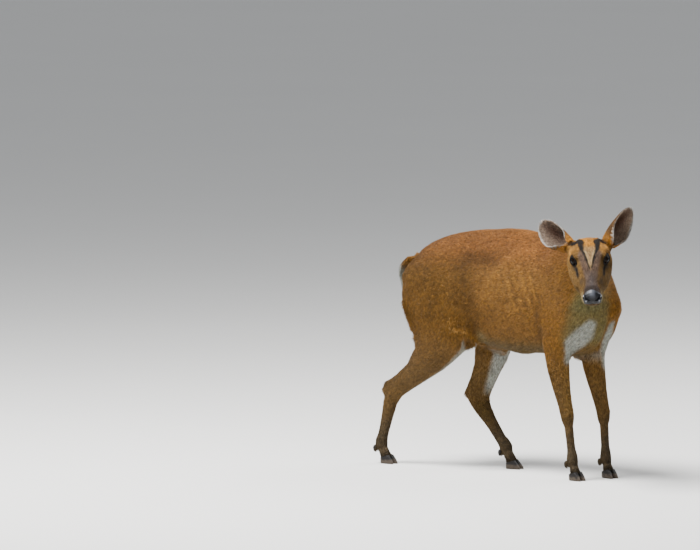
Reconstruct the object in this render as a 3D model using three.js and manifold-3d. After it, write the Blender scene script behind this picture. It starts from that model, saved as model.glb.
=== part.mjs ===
// A red muntjac doe at life size, standing still with her head turned to her right.
// Millimetres, +X towards her chest, +Y to her left, +Z up, her hooves on z = 0.

import * as THREE from 'three';
import Module from 'manifold-3d';
import { mergeVertices } from 'three/addons/utils/BufferGeometryUtils.js';

const wasm = await Module();
wasm.setup();

const GAP = 0.3;
const BLOCK = 3000;

// The trunk bows to the animal's left: its middle line in plan is y = -TRUNK_BOW * x * x.
const TRUNK_BOW = 0.000353;

// The head: where the midpoint of the eyes lies, the way the face looks, how far the nose points
// below the horizon, and how far the crown leans to the animal's right.
const EYES_MIDPOINT = new THREE.Vector3(361.8, -157.2, 498);
const FACE_HEADING = THREE.MathUtils.degToRad(-48);
const FACE_PITCH = THREE.MathUtils.degToRad(36);
const FACE_ROLL = THREE.MathUtils.degToRad(3);
const EYES_ALONG = 75;
const EYES_BELOW = 25;
const EYEBALL = [71, -20, 30];
const EYE_RADIUS = 12.4;
const EYE_OPENING = [11.8, 9.2, 22];
const LID = 2.2;

// The mouth line and the bare nose pad, in the head's own axes.
const HEAD_CORE = -44;
const MOUTH_CORNER = 140;
const MOUTH_LEVEL = -52;
const MOUTH_RISE = THREE.MathUtils.degToRad(6);
const MOUTH_GAPE = 1.5;
const MOUTH_DEPTH = 2.6;
const NOSE_TOP = [170, -16, 0];
const NOSE_SLOPE = [0.9, 0.44, 0];
const LIP_TOP = [188, -47, 0];

const EAR_LENGTH = 109;
const EAR_WIDTH = 26;
const EAR_BULGE = 0.2;

const CLAW_LENGTH = 35;
const CLAW_WIDTH = 12.4;
const CLAW_CLEFT = 1.6;

// Joints of the four legs. The near hind leg is stretched back and the far one is set under her,
// with its flesh gathered: calf and shank say how much fuller than usual it is there.
const LEGS = {
  fore_right: {
    side: -1,
    shoulder: [238, -58, 392],
    elbow: [184, -64, 300],
    knee: [212, -62, 150],
    fetlock: [229, -61, 46],
    hoof: [244, -62, 0],
    heading: -6,
  },
  fore_left: {
    side: 1,
    shoulder: [255, 28, 384],
    elbow: [203, 34, 300],
    knee: [236, 33, 149],
    fetlock: [247, 31, 46],
    hoof: [261, 29, 0],
    heading: -9,
  },
  hind_right: {
    side: -1,
    hip: [-190, -60, 432],
    stifle: [-104, -68, 290],
    hock: [-299, -68, 161],
    fetlock: [-333, -66, 44],
    hoof: [-310, -66, 0],
    heading: 2,
    calf: 0.87,
    shank: 1.03,
  },
  hind_left: {
    side: 1,
    hip: [-190, 36, 432],
    stifle: [-64, 46, 345],
    hock: [-139, 36, 152],
    fetlock: [-48, 34, 46],
    hoof: [-24, 35, 0],
    heading: 12,
    calf: 1.2,
    shank: 1.18,
  },
};

const COLOURS = {
  coat: 0xa8642c,
  flank: 0x9c5a28,
  face: 0xa87038,
  ear: 0x7c6656,
  tail: 0xb0602a,
  shank: 0x8a5830,
  horn: 0x2c2624,
  nose: 0x141416,
  eye: 0x0c0a0a,
};

const UP = new THREE.Vector3(0, 0, 1);
const FRONT = new THREE.Vector3(1, 0, 0);

const point = (x, y, z) => new THREE.Vector3(x, y, z);
const trunkLine = (x) => -TRUNK_BOW * x * x;

// The head's own axes: along the muzzle, up through the forehead, and out to the left ear.
const viewLine = point(Math.cos(FACE_HEADING), Math.sin(FACE_HEADING), 0);
const headBasis = (() => {
  const left = point(-viewLine.y, viewLine.x, 0);
  const [c, s] = [Math.cos(FACE_PITCH), Math.sin(FACE_PITCH)];
  const along = viewLine.clone().multiplyScalar(c).addScaledVector(UP, -s);
  const above = viewLine.clone().multiplyScalar(s).addScaledVector(UP, c);
  const basis = new THREE.Matrix4().makeBasis(along, above, left);
  return new THREE.Matrix4().makeRotationAxis(viewLine, FACE_ROLL).multiply(basis);
})();

const headAxis = (along, above, left) => point(along, above, left).transformDirection(headBasis);
const crown = EYES_MIDPOINT.clone()
  .addScaledVector(headAxis(1, 0, 0), -EYES_ALONG)
  .addScaledVector(headAxis(0, 1, 0), EYES_BELOW);
const onHead = (along, above, left) => point(along, above, left).applyMatrix4(headBasis).add(crown);

// One ring of a limb or of the trunk: its centre, its half-width, and its reach above and below.
function ring(centre, side, top, bottom = top) {
  return { centre, size: point(side, top, bottom) };
}

// A rounded form swept through rings. Its distance is below zero inside and above zero outside.
class Form {
  constructor(rings, up, { blend = 18, end = 0.8, hollow = false } = {}) {
    const centres = new THREE.CatmullRomCurve3(rings.map((r) => r.centre), false, 'centripetal');
    const sizes = new THREE.CatmullRomCurve3(rings.map((r) => r.size), false, 'centripetal');
    const steps = 6 * (rings.length - 1);
    this.blend = blend;
    this.end = end;
    this.hollow = hollow;
    this.samples = Array.from({ length: steps + 1 }, (_, i) => {
      const tangent = centres.getTangent(i / steps);
      const top = up.clone().addScaledVector(tangent, -up.dot(tangent)).normalize();
      const side = tangent.clone().cross(top);
      return { centre: centres.getPoint(i / steps), size: sizes.getPoint(i / steps), tangent, top, side };
    });
    this.ball = new THREE.Sphere().setFromPoints(this.samples.map((s) => s.centre));
    this.ball.radius += Math.max(...this.samples.map((s) => Math.max(s.size.x, s.size.y, s.size.z)));
  }

  distance(p) {
    let nearest = Infinity;
    let index = 0;
    let share = 0;
    for (let i = 0; i < this.samples.length - 1; i += 1) {
      const a = this.samples[i].centre;
      const b = this.samples[i + 1].centre;
      const [dx, dy, dz] = [b.x - a.x, b.y - a.y, b.z - a.z];
      const along = ((p.x - a.x) * dx + (p.y - a.y) * dy + (p.z - a.z) * dz) / (dx * dx + dy * dy + dz * dz);
      const t = Math.min(1, Math.max(0, along));
      const far = (p.x - a.x - t * dx) ** 2 + (p.y - a.y - t * dy) ** 2 + (p.z - a.z - t * dz) ** 2;
      if (far < nearest) {
        [nearest, index, share] = [far, i, t];
      }
    }
    const a = this.samples[index];
    const b = this.samples[index + 1];
    const atEnd = (index === 0 && share === 0) || (index === this.samples.length - 2 && share === 1);
    const offset = p.clone().sub(a.centre).addScaledVector(b.centre.clone().sub(a.centre), -share);
    const mix = (of) => of(a) * (1 - share) + of(b) * share;
    const aside = mix((s) => offset.dot(s.side));
    const above = mix((s) => offset.dot(s.top));
    const beyond = atEnd ? mix((s) => offset.dot(s.tangent)) : 0;
    const width = mix((s) => s.size.x);
    const height = above > 0 ? mix((s) => s.size.y) : mix((s) => s.size.z);
    const length = this.end * Math.min(width, height);
    const scaled = Math.hypot(aside / width, above / height, beyond / length);
    if (scaled < 1e-4) return -Math.min(width, height);
    return Math.hypot(aside, above, beyond) * (1 - 1 / scaled);
  }
}

// The forms flow into one another over the width of each one's blend, and hollows press in.
function bodyDistance(forms, p) {
  let d = Infinity;
  for (const form of forms) {
    if (form.ball.distanceToPoint(p) > (form.hollow ? 0 : d) + form.blend && d < Infinity) continue;
    const e = form.hollow ? -form.distance(p) : form.distance(p);
    const overlap = Math.max(form.blend - Math.abs(d - e), 0) / form.blend;
    const round = d < Infinity ? overlap * overlap * form.blend * 0.25 : 0;
    d = form.hollow ? Math.max(d, e) + round : Math.min(d, e) - round;
  }
  return d;
}

function solidOf(geometry) {
  for (const name of Object.keys(geometry.attributes)) {
    if (name !== 'position') geometry.deleteAttribute(name);
  }
  const merged = mergeVertices(geometry, 1e-4);
  const vertProperties = Float32Array.from(merged.attributes.position.array);
  const triVerts = Uint32Array.from(merged.index.array);
  const solid = new wasm.Manifold(new wasm.Mesh({ numProp: 3, vertProperties, triVerts }));
  if (solid.volume() > 0) return solid;
  for (let i = 0; i < triVerts.length; i += 3) {
    [triVerts[i], triVerts[i + 1]] = [triVerts[i + 1], triVerts[i]];
  }
  return new wasm.Manifold(new wasm.Mesh({ numProp: 3, vertProperties, triVerts }));
}

const largest = (solid) => solid.decompose().reduce((a, b) => (a.volume() > b.volume() ? a : b));

function moved(geometry, place) {
  const position = geometry.attributes.position;
  const v = new THREE.Vector3();
  for (let i = 0; i < position.count; i += 1) {
    v.fromBufferAttribute(position, i);
    position.setXYZ(i, ...place(v).toArray());
  }
  return geometry;
}

// The skin of the forms round an axis line: each vertex of a capsule is drawn out along its own
// ray from that line until the ray leaves the body, or for `reach` at most.
function skin(axisPoints, up, forms, { around, along, caps = 3, reach, step = 5, inset = 0 }) {
  const axis = new THREE.CatmullRomCurve3(axisPoints, false, 'centripetal');
  const place = (v) => {
    const share = THREE.MathUtils.clamp(v.y + 0.5, 0, 1);
    const tangent = axis.getTangentAt(share);
    const top = up.clone().addScaledVector(tangent, -up.dot(tangent)).normalize();
    const side = tangent.clone().cross(top);
    const ray = side.multiplyScalar(v.x)
      .addScaledVector(tangent, v.y - THREE.MathUtils.clamp(v.y, -0.5, 0.5))
      .addScaledVector(top, v.z)
      .normalize();
    const from = axis.getPointAt(share);
    const at = (distance) => from.clone().addScaledVector(ray, distance);
    let outer = step;
    while (outer < reach && bodyDistance(forms, at(outer)) < -inset) outer += step;
    let inner = outer - step;
    if (outer >= reach) return at(reach);
    for (let i = 0; i < 9; i += 1) {
      const middle = (inner + outer) / 2;
      if (bodyDistance(forms, at(middle)) < -inset) inner = middle;
      else outer = middle;
    }
    return at(outer);
  };
  return solidOf(moved(new THREE.CapsuleGeometry(0.01, 1, caps, around, along), place));
}

// A closed shell whose rings run from share 0 to 1 and whose ring points run round from 0 to 1.
function formed(rings, around, place) {
  const shell = new THREE.CylinderGeometry(1, 1, 1, around, rings);
  return solidOf(moved(shell, (v) => {
    const share = v.y + 0.5;
    const turn = (Math.atan2(v.x, v.z) / (2 * Math.PI) + 1) % 1;
    if (Math.hypot(v.x, v.z) > 0.5) return place(share, turn);
    const sum = new THREE.Vector3();
    for (let i = 0; i < around; i += 1) sum.add(place(share, i / around));
    return sum.divideScalar(around);
  }));
}

function placed(solid, matrix) {
  const e = matrix.elements;
  return solid.transform([...e]);
}

const plane = (through, normal) => {
  const n = normal.clone().normalize();
  return { normal: n.toArray(), offset: n.dot(through) };
};
const flipped = ({ normal, offset }) => ({ normal: normal.map((v) => -v), offset: -offset });

// The part of a solid inside a region bounded by planes, and what is left outside it.
function inside(solid, region, gap = GAP / 2) {
  return region.reduce((kept, { normal, offset }) => kept.trimByPlane(normal, offset + gap), solid);
}

function outside(solid, region) {
  return solid.subtract(inside(solidOf(new THREE.BoxGeometry(BLOCK, BLOCK, BLOCK)), region, -GAP / 2));
}

function ellipsoid(centre, radii, turn = new THREE.Quaternion(), detail = [16, 10]) {
  const matrix = new THREE.Matrix4().compose(centre, turn, radii);
  return placed(solidOf(new THREE.SphereGeometry(1, ...detail)), matrix);
}

// The trunk from rump to chest: x, height of the widest line, half-width, reach up and down.
const TRUNK_RINGS = [
  [-242, 412, 42, 60, 62],
  [-214, 416, 60, 81, 88],
  [-161, 424, 72, 98, 116],
  [-103, 420, 76, 119, 130],
  [-42, 408, 82, 137, 134],
  [21, 402, 87, 143, 136],
  [84, 402, 83, 137, 135],
  [145, 406, 74, 121, 136],
  [200, 402, 62, 104, 128],
  [246, 392, 46, 88, 100],
];

function trunkForms() {
  const rings = TRUNK_RINGS.map(([x, z, ...sizes]) => ring(point(x, trunkLine(x), z), ...sizes));
  const withers = [
    ring(point(110, trunkLine(110), 498), 20, 32),
    ring(point(165, trunkLine(165), 484), 22, 34),
    ring(point(215, -24, 468), 24, 32),
  ];
  const brisket = [
    ring(point(190, trunkLine(190), 320), 34, 50, 48),
    ring(point(235, -22, 330), 32, 50, 44),
    ring(point(258, -28, 362), 28, 36, 36),
  ];
  return [
    new Form(rings, UP, { end: 0.55 }),
    new Form(withers, UP, { blend: 40 }),
    new Form(brisket, UP, { blend: 34 }),
  ];
}

function neckForms() {
  const rings = [
    ring(point(178, -8, 432), 56, 74, 92),
    ring(point(226, -26, 450), 51, 58, 84),
    ring(point(268, -53, 472), 43, 48, 66),
    ring(point(300, -80, 490), 38, 40, 52),
    ring(onHead(18, -50, 0), 34, 33, 42),
  ];
  return [new Form(rings, UP, { blend: 44 })];
}

const headingOf = (leg) => THREE.MathUtils.degToRad(leg.heading);
const facing = (leg) => point(Math.cos(headingOf(leg)), Math.sin(headingOf(leg)), 0);
const at = ([x, y, z], dx = 0, dy = 0, dz = 0) => point(x + dx, y + dy, z + dz);
const mid = (a, b, share) => at(a).lerp(at(b), share);

function pasternForms(leg, cannon) {
  const toe = mid(leg.fetlock, leg.hoof, 0.62);
  return [
    new Form([
      ring(at(leg.fetlock, 0, 0, 12), cannon, cannon + 1.5),
      ring(at(leg.fetlock), cannon + 2.6, cannon + 3.4, cannon + 5),
      ring(mid(leg.fetlock, leg.hoof, 0.3), cannon + 1.4, cannon + 0.6, cannon + 2),
      ring(toe, cannon + 3, cannon + 2.5, cannon + 4),
      ring(mid(leg.fetlock, leg.hoof, 0.9), cannon + 3.4, cannon + 3, cannon + 5),
    ], facing(leg), { blend: 8 }),
  ];
}

function foreLegForms(leg) {
  const { side, shoulder, elbow, knee, fetlock } = leg;
  const inner = -side;
  return [
    new Form([
      ring(at(shoulder, -62, inner * 12, 92), 20, 34, 40),
      ring(at(shoulder, -30, inner * 3, 46), 26, 36, 46),
      ring(at(shoulder, 4, 0, 0), 26, 27, 36),
    ], FRONT, { blend: 34 }),
    new Form([
      ring(at(shoulder, -2, 0, -4), 27, 33, 34),
      ring(mid(shoulder, elbow, 0.5), 27, 42, 34),
      ring(at(elbow, 10, 0, 0), 22, 28, 24),
    ], FRONT, { blend: 30 }),
    new Form([
      ring(mid(shoulder, elbow, 0.35).add(point(-40, 0, 8)), 20, 20, 22),
      ring(at(elbow, -8, 0, 12), 15, 22, 20),
    ], FRONT, { blend: 26 }),
    new Form([
      ring(at(elbow, 4, 0, 4), 21, 28, 40),
      ring(mid(elbow, knee, 0.3), 19.5, 24, 35),
      ring(mid(elbow, knee, 0.62), 16, 19, 28),
      ring(mid(elbow, knee, 0.88), 13.4, 17.5, 19),
      ring(at(knee), 13.6, 17.5, 16),
      ring(mid(knee, fetlock, 0.16), 11.4, 15, 12),
    ], FRONT, { blend: 20 }),
    new Form([
      ring(mid(knee, fetlock, 0.05), 11.2, 15, 11.5),
      ring(mid(knee, fetlock, 0.3), 9, 12.6, 9),
      ring(mid(knee, fetlock, 0.7), 8.4, 10.6, 9.2),
      ring(at(fetlock), 9.4, 10, 11),
    ], FRONT, { blend: 8 }),
    ...pasternForms(leg, 8.2),
  ];
}

function hindLegForms(leg) {
  const { side, hip, stifle, hock, fetlock, calf, shank } = leg;
  const inner = -side;
  const front = facing(leg);
  const heel = at(hock).addScaledVector(front, -18).addScaledVector(UP, 11);
  return [
    new Form([
      ring(at(hip, 12, inner * 10, 34), 30, 44, 44),
      ring(at(hip, 4, 0, -14), 34, 58, 62),
      ring(mid(hip, stifle, 0.55), 33, 58, 66),
      ring(mid(hip, stifle, 0.95), 27, 38, 52),
    ], FRONT, { blend: 34 }),
    new Form([
      ring(at(hip, -48, side * 2, 0), 24, 32, 27),
      ring(at(hip, -46, side * 3, -60), 27, 40, 30),
      ring(mid(stifle, hock, 0.26).add(point(-36, 0, 22)), 22, 34, 30),
      ring(mid(stifle, hock, 0.5).add(point(-12, 0, 8)), 15, 24, 24),
    ], FRONT, { blend: 30 }),
    new Form([
      ring(at(stifle, 6, 0, 6), 27, 32 * calf, 38),
      ring(mid(stifle, hock, 0.25), 26, 38 * calf, 41),
      ring(mid(stifle, hock, 0.5), 21, 34 * calf, 36),
      ring(mid(stifle, hock, 0.75), 17, 28 * calf, 27),
      ring(mid(stifle, hock, 0.96), 15, 23 * calf, 20 * shank),
    ], front, { blend: 24 }),
    new Form([
      ring(mid(stifle, hock, 0.55).addScaledVector(front, -16), 7, 8, 8),
      ring(heel, 8.5, 9.5, 9),
    ], front, { blend: 16 }),
    new Form([
      ring(heel, 8.6, 10, 9),
      ring(at(hock), 14, 20 * shank, 18 * shank),
      ring(mid(hock, fetlock, 0.2), 13, 18 * shank, 16.5 * shank),
      ring(mid(hock, fetlock, 0.5), 10.6, 15, 14),
      ring(mid(hock, fetlock, 0.82), 9.8, 12.4, 12.8),
      ring(at(fetlock), 10.6, 12, 13),
    ], front, { blend: 16 }),
    ...pasternForms(leg, 9.4),
  ];
}

// The skull and its flesh, in the head's own axes: along, above, aside, then the half sizes.
const SKULL_RINGS = [
  [-3, -44, 26, 20, 26],
  [20, -41, 36, 31, 40],
  [45, -39, 40, 35.5, 48],
  [72, -38, 41, 36, 49],
  [98, -42, 37, 34, 40],
  [122, -46, 31, 35, 30],
  [147, -47, 25, 33, 23],
  [169, -42.5, 21, 24, 18.5],
  [183, -40.5, 18.5, 19, 14.5],
];

function headForms() {
  const above = headAxis(0, 1, 0);
  const rings = SKULL_RINGS.map(([along, up, ...sizes]) => ring(onHead(along, up, 0), ...sizes));
  const bead = (row, side) => ring(onHead(row[0], row[1], side * row[2]), row[3], row[3]);
  const rail = (side, rows, blend) => new Form(rows.map((row) => bead(row, side)), above, { blend });
  const paired = [-1, 1].flatMap((side) => [
    rail(side, [[46, -80, 18, 12], [88, -76, 15, 11], [130, -66, 11, 9], [168, -58, 7, 8]], 14),
    rail(side, [[52, -58, 31, 14], [90, -54, 30, 13], [118, -52, 25, 11]], 18),
    rail(side, [[36, -38, 37, 9], [62, -38, 41, 8], [88, -43, 35, 7]], 12),
    rail(side, [[38, -19, 33, 8], [58, -9, 34, 7.5], [78, -7, 30, 6]], 12),
    rail(side, [[14, -17, 18, 7], [44, -7, 17, 6], [76, -6, 15, 6], [108, -14, 12, 6]], 12),
    rail(side, [[150, -55, 15, 7], [170, -51, 14, 7.5], [181, -48, 11, 6.5]], 9),
    rail(side, [[176, -35, 13, 8], [186, -39, 12, 7]], 8),
  ]);
  const chin = new Form([
    ring(onHead(148, -60, 0), 13, 8),
    ring(onHead(172, -56, 0), 11, 7),
  ], above, { blend: 9 });
  const orbits = [-1, 1].map((side) => new Form([
    ring(onHead(82, -19, side * 41), 9, 9),
    ring(onHead(104, -22, side * 37), 7, 7),
  ], above, { blend: 10, hollow: true }));
  return [new Form(rings, above, { blend: 10, end: 0.5 }), ...paired, chin, ...orbits];
}

// Each ear stands on a short mound of the head. Local z runs up the ear and x faces out of the cup.
const EAR_ROOT = [16, -40, 33];
const EAR_FOOT = 12;

function earFrame(side, spread) {
  const right = point(-viewLine.y, viewLine.x, 0);
  const up = right.clone().cross(viewLine).negate();
  const tilt = THREE.MathUtils.degToRad(spread.back);
  const lean = THREE.MathUtils.degToRad(spread.lean);
  const turn = THREE.MathUtils.degToRad(spread.turn);
  const axis = right.clone().multiplyScalar(Math.sin(lean) * side)
    .addScaledVector(up, Math.cos(lean))
    .multiplyScalar(Math.cos(tilt))
    .addScaledVector(viewLine, -Math.sin(tilt));
  const open = viewLine.clone().multiplyScalar(Math.cos(turn));
  open.addScaledVector(right, side * Math.sin(turn));
  open.addScaledVector(axis, -open.dot(axis)).normalize();
  const across = axis.clone().cross(open);
  const root = onHead(EAR_ROOT[0], EAR_ROOT[1], side * EAR_ROOT[2]);
  return new THREE.Matrix4().makeBasis(open, across, axis).setPosition(root);
}

const EARS = {
  right: { side: -1, frame: earFrame(-1, { back: 34, lean: 52, turn: 0 }) },
  left: { side: 1, frame: earFrame(1, { back: 12, lean: 33, turn: 44 }) },
};

const inEar = (frame, x, y, z) => point(x, y, z).applyMatrix4(frame);

function earMound({ frame }) {
  const rings = [
    ring(inEar(frame, -4, 0, -18), 16, 16),
    ring(inEar(frame, -2, 0, -2), 16, 16),
    ring(inEar(frame, 0, 0, EAR_FOOT + 4), 15.5, 15.5),
  ];
  return new Form(rings, headAxis(1, 0, 0), { blend: 14, end: 0.4 });
}

const curveThrough = (pairs) => {
  const curve = new THREE.SplineCurve(pairs.map(([x, y]) => new THREE.Vector2(x, y)));
  return (share) => {
    const scaled = share * (pairs.length - 1);
    let t = scaled / (pairs.length - 1);
    for (let i = 0; i < 12; i += 1) t += share - curve.getPoint(THREE.MathUtils.clamp(t, 0, 1)).x;
    return curve.getPoint(THREE.MathUtils.clamp(t, 0, 1)).y;
  };
};

// Shares of the ear's length against its half-width, the half-angle of its wall and its back.
const earHalfWidth = curveThrough([
  [0, 0.64], [0.15, 0.82], [0.32, 0.98], [0.52, 1.04], [0.74, 0.9], [0.9, 0.56], [1, 0.1],
]);
const earHalfAngle = curveThrough([[0, 172], [0.14, 150], [0.3, 112], [0.5, 84], [0.75, 64], [1, 46]]);
const earBack = curveThrough([[0, -14], [0.25, -17], [0.5, -15], [0.8, -7], [1, 2]]);

function earSolid({ frame, side }) {
  const steps = 9;
  const place = (share, turn) => {
    const halfWidth = EAR_WIDTH * earHalfWidth(share);
    const halfAngle = THREE.MathUtils.degToRad(earHalfAngle(share));
    const radius = halfAngle < Math.PI / 2 ? halfWidth / Math.sin(halfAngle) : halfWidth;
    const outer = turn < 0.5;
    const sweep = outer ? turn / (0.5 - 0.5 / steps) : (1 - turn - 0.5 / steps) / (0.5 - 0.5 / steps);
    const swing = THREE.MathUtils.clamp(sweep * 2 - 1, -1, 1);
    const wall = (2.9 - 1.1 * share) * (1 - 0.5 * swing * swing);
    const r = outer ? radius : radius - Math.min(wall, radius * 0.6);
    const angle = swing * halfAngle;
    const x = earBack(share) + radius - r * Math.cos(angle);
    const y = r * Math.sin(angle);
    const bulge = 1 + EAR_BULGE * Math.sin(Math.PI * share) * Math.sign(y * side);
    return inEar(frame, x, y * bulge, EAR_FOOT + (EAR_LENGTH - EAR_FOOT) * share);
  };
  const shell = formed(13, 2 * steps, place);
  const root = new THREE.CylinderGeometry(14, 16, 14, 12, 1).rotateX(Math.PI / 2);
  const plug = placed(solidOf(root.translate(0, 0, EAR_FOOT + 2)), frame);
  return largest(inside(shell.add(plug), [earFoot(frame)]));
}

const earFoot = (frame) => plane(inEar(frame, 0, 0, EAR_FOOT), point(0, 0, 1).transformDirection(frame));

// Everything of the head beyond an ear's foot is cut away by a flat disc.
function earDisc({ frame }) {
  const disc = new THREE.CylinderGeometry(26, 26, 40, 16).rotateX(Math.PI / 2);
  disc.translate(0, 0, EAR_FOOT + 20 - GAP / 2);
  return placed(solidOf(disc), frame);
}

const EYES = [-1, 1].map((side) => ({
  side,
  name: side < 0 ? 'eye_right' : 'eye_left',
  centre: onHead(EYEBALL[0], EYEBALL[1], side * EYEBALL[2]),
  gaze: headAxis(0.7, 0.16, side * 0.7),
}));

function eyeTurn({ gaze }) {
  const slant = headAxis(0.85, -0.5, 0);
  const across = slant.addScaledVector(gaze, -slant.dot(gaze)).normalize();
  const basis = new THREE.Matrix4().makeBasis(across, gaze.clone().cross(across), gaze);
  return new THREE.Quaternion().setFromRotationMatrix(basis);
}

function withEyeSocket(head, eye) {
  const turn = eyeTurn(eye);
  const lids = ellipsoid(eye.centre, point(1, 1, 1).multiplyScalar(EYE_RADIUS + LID), turn, [14, 10]);
  const ball = ellipsoid(eye.centre, point(1, 1, 1).multiplyScalar(EYE_RADIUS + GAP), turn, [14, 10]);
  const slot = new THREE.CylinderGeometry(1, 0.5, 1, 16).rotateX(Math.PI / 2).translate(0, 0, 0.5);
  const matrix = new THREE.Matrix4().compose(eye.centre, turn, point(...EYE_OPENING));
  return head.add(lids).subtract(ball).subtract(placed(solidOf(slot), matrix));
}

// Where the head's surface lies, at a turn in degrees from the top of the head towards one side.
function onFace(forms, along, turn, side, depth = 0) {
  const from = onHead(along, HEAD_CORE, 0);
  const angle = THREE.MathUtils.degToRad(turn);
  const ray = headAxis(0, Math.cos(angle), side * Math.sin(angle));
  let distance = 0;
  while (bodyDistance(forms, from.clone().addScaledVector(ray, distance)) < 0) distance += 0.25;
  return from.addScaledVector(ray, distance - depth);
}

const headTurn = new THREE.Quaternion().setFromRotationMatrix(headBasis);

// A slit under each eye, and the comma of each nostril: a round pit with a tail that runs up and back.
function withPits(head, forms) {
  const turned = (axis, degrees) => (
    new THREE.Quaternion().setFromAxisAngle(axis, THREE.MathUtils.degToRad(degrees)).multiply(headTurn)
  );
  const slope = turned(headAxis(0, 0, 1), -18);
  return [-1, 1].reduce((cut, side) => {
    const swing = turned(headAxis(0, 1, 0), side * -40);
    const gland = ellipsoid(onFace(forms, 103, 60, side), point(9.5, 1.6, 3), slope, [10, 6]);
    const pit = ellipsoid(onFace(forms, 184, 64, side), point(5.4, 4.2, 4.4), swing, [10, 7]);
    const tail = ellipsoid(onFace(forms, 179, 54, side, -0.5), point(7.5, 1.8, 3), swing, [10, 6]);
    return cut.subtract(gland).subtract(pit.add(tail));
  }, head);
}

// The mouth is a shallow groove round the end of the muzzle, from corner to corner.
function withMouth(head, forms) {
  const line = [120, 150, 176].map((along) => onHead(along, HEAD_CORE, 0));
  const detail = { around: 16, along: 5, reach: 60, step: 3 };
  const core = skin(line, headAxis(0, 1, 0), forms, { ...detail, inset: MOUTH_DEPTH });
  const blade = placed(solidOf(new THREE.BoxGeometry(60, MOUTH_GAPE, 90)), new THREE.Matrix4()
    .makeTranslation(onHead(MOUTH_CORNER + 30, MOUTH_LEVEL, 0))
    .multiply(headBasis)
    .multiply(new THREE.Matrix4().makeRotationZ(MOUTH_RISE)));
  return head.subtract(blade.subtract(core));
}

const trunk = trunkForms();
const neck = neckForms();
const skull = [...headForms(), ...Object.values(EARS).map(earMound)];
const legForms = Object.fromEntries(Object.entries(LEGS).map(([name, leg]) => (
  [name, leg.hip ? hindLegForms(leg) : foreLegForms(leg)]
)));

// The masses of shoulder and haunch belong to the body's surface on both sides of a parting.
const masses = Object.values(legForms).flatMap((forms) => forms.slice(0, 3));
const body = [...trunk, ...neck, ...masses];

const neckBase = plane(point(232, -32, 452), point(0.72, -0.38, 0.58));
const throat = plane(onHead(2, -50, 0), headAxis(0.72, 0.62, 0));

// Each leg is parted from the trunk by a plane that rises outwards from the groin or the armpit,
// from its fellow by the animal's middle, and from the flank or the neck in front or behind.
function legRegion(leg) {
  const { side } = leg;
  const [x] = leg.hip ?? leg.elbow;
  const middle = plane(point(x, trunkLine(x), 0), point(0, side, 0));
  if (leg.hip) {
    const groin = point(x, trunkLine(x) + side * 6, 300);
    const flank = point(leg.stifle[0] + 40, 0, leg.stifle[2]);
    return [middle, plane(groin, point(0, side * 0.89, -0.46)), plane(flank, point(-0.98, 0, -0.2))];
  }
  const armpit = point(x, trunkLine(x) + side * 22, 265);
  const back = plane(point(x - 38, 0, leg.elbow[2]), point(1, 0, 0.1));
  return [middle, plane(armpit, point(0, side * 0.945, -0.33)), back, flipped(neckBase)];
}

function lowerJoint(leg) {
  const top = leg.hip ? leg.stifle : leg.elbow;
  const joint = leg.hip ? leg.hock : leg.knee;
  const above = at(joint).sub(at(top)).normalize();
  const below = at(leg.fetlock).sub(at(joint)).normalize();
  return plane(at(joint, leg.hip ? 2 : 0, 0, leg.hip ? -6 : 0), above.add(below));
}

// The hoof's hair line, which falls from the front of the foot to the heel.
function coronet(leg) {
  return plane(at(leg.hoof, 0, 0, 19), facing(leg).multiplyScalar(0.3).sub(UP));
}

function clawSolid(leg, claw) {
  const place = (share, turn) => {
    const x = (share - 0.5) * CLAW_LENGTH;
    const taper = Math.sqrt(Math.max(0, 1 - Math.max(0, share - 0.25) ** 2 / 0.5625));
    const heel = Math.min(1, 0.55 + share * 3);
    const width = Math.max(1.2, CLAW_WIDTH / 2 * heel * taper);
    const height = Math.min(30, 5 + (1 - share) * CLAW_LENGTH * 1.15);
    const [c, s] = [Math.cos(2 * Math.PI * turn), Math.sin(2 * Math.PI * turn)];
    const y = width * Math.sign(c) * Math.abs(c) ** 0.55;
    const z = height * (0.5 + 0.5 * Math.sign(s) * Math.abs(s) ** 0.45) - 1;
    return point(x, y, z);
  };
  const splay = THREE.MathUtils.degToRad(claw * 3);
  const matrix = new THREE.Matrix4().makeTranslation(...leg.hoof)
    .multiply(new THREE.Matrix4().makeRotationZ(headingOf(leg)))
    .multiply(new THREE.Matrix4().makeTranslation(0, claw * (CLAW_WIDTH + CLAW_CLEFT) / 2, 0))
    .multiply(new THREE.Matrix4().makeRotationZ(splay));
  const solid = placed(formed(7, 10, place), matrix).trimByPlane([0, 0, 1], 0);
  const cleft = plane(at(leg.hoof), UP.clone().cross(facing(leg)).multiplyScalar(claw));
  return largest(inside(inside(solid, [coronet(leg)]), [cleft], CLAW_CLEFT / 2));
}

function dewclaws(leg) {
  return [-1, 1].map((claw) => (
    ellipsoid(at(leg.fetlock, -11, claw * 8, -10), point(4.6, 4, 8), new THREE.Quaternion(), [8, 5])
  ));
}

const meshes = new Map();

function add(name, solid, colour, roughness = 0.85) {
  const { vertProperties, triVerts } = largest(solid).getMesh();
  const geometry = new THREE.BufferGeometry();
  geometry.setAttribute('position', new THREE.BufferAttribute(Float32Array.from(vertProperties), 3));
  geometry.setIndex(new THREE.BufferAttribute(Uint32Array.from(triVerts), 1));
  geometry.computeVertexNormals();
  const material = new THREE.MeshStandardMaterial({ color: colour, roughness, metalness: 0 });
  const mesh = new THREE.Mesh(geometry, material);
  mesh.name = name;
  meshes.set(name, mesh);
}

function addTorso() {
  const line = [-236, -160, -80, 0, 80, 160, 222].map((x) => point(x, trunkLine(x), 412));
  let torso = skin(line, UP, body, { around: 34, along: 32, caps: 6, reach: 150 });
  torso = inside(torso, [flipped(neckBase)]);
  for (const leg of Object.values(LEGS)) torso = outside(torso, legRegion(leg));
  add('torso', outside(torso, tailRegion), COLOURS.coat);
}

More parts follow.
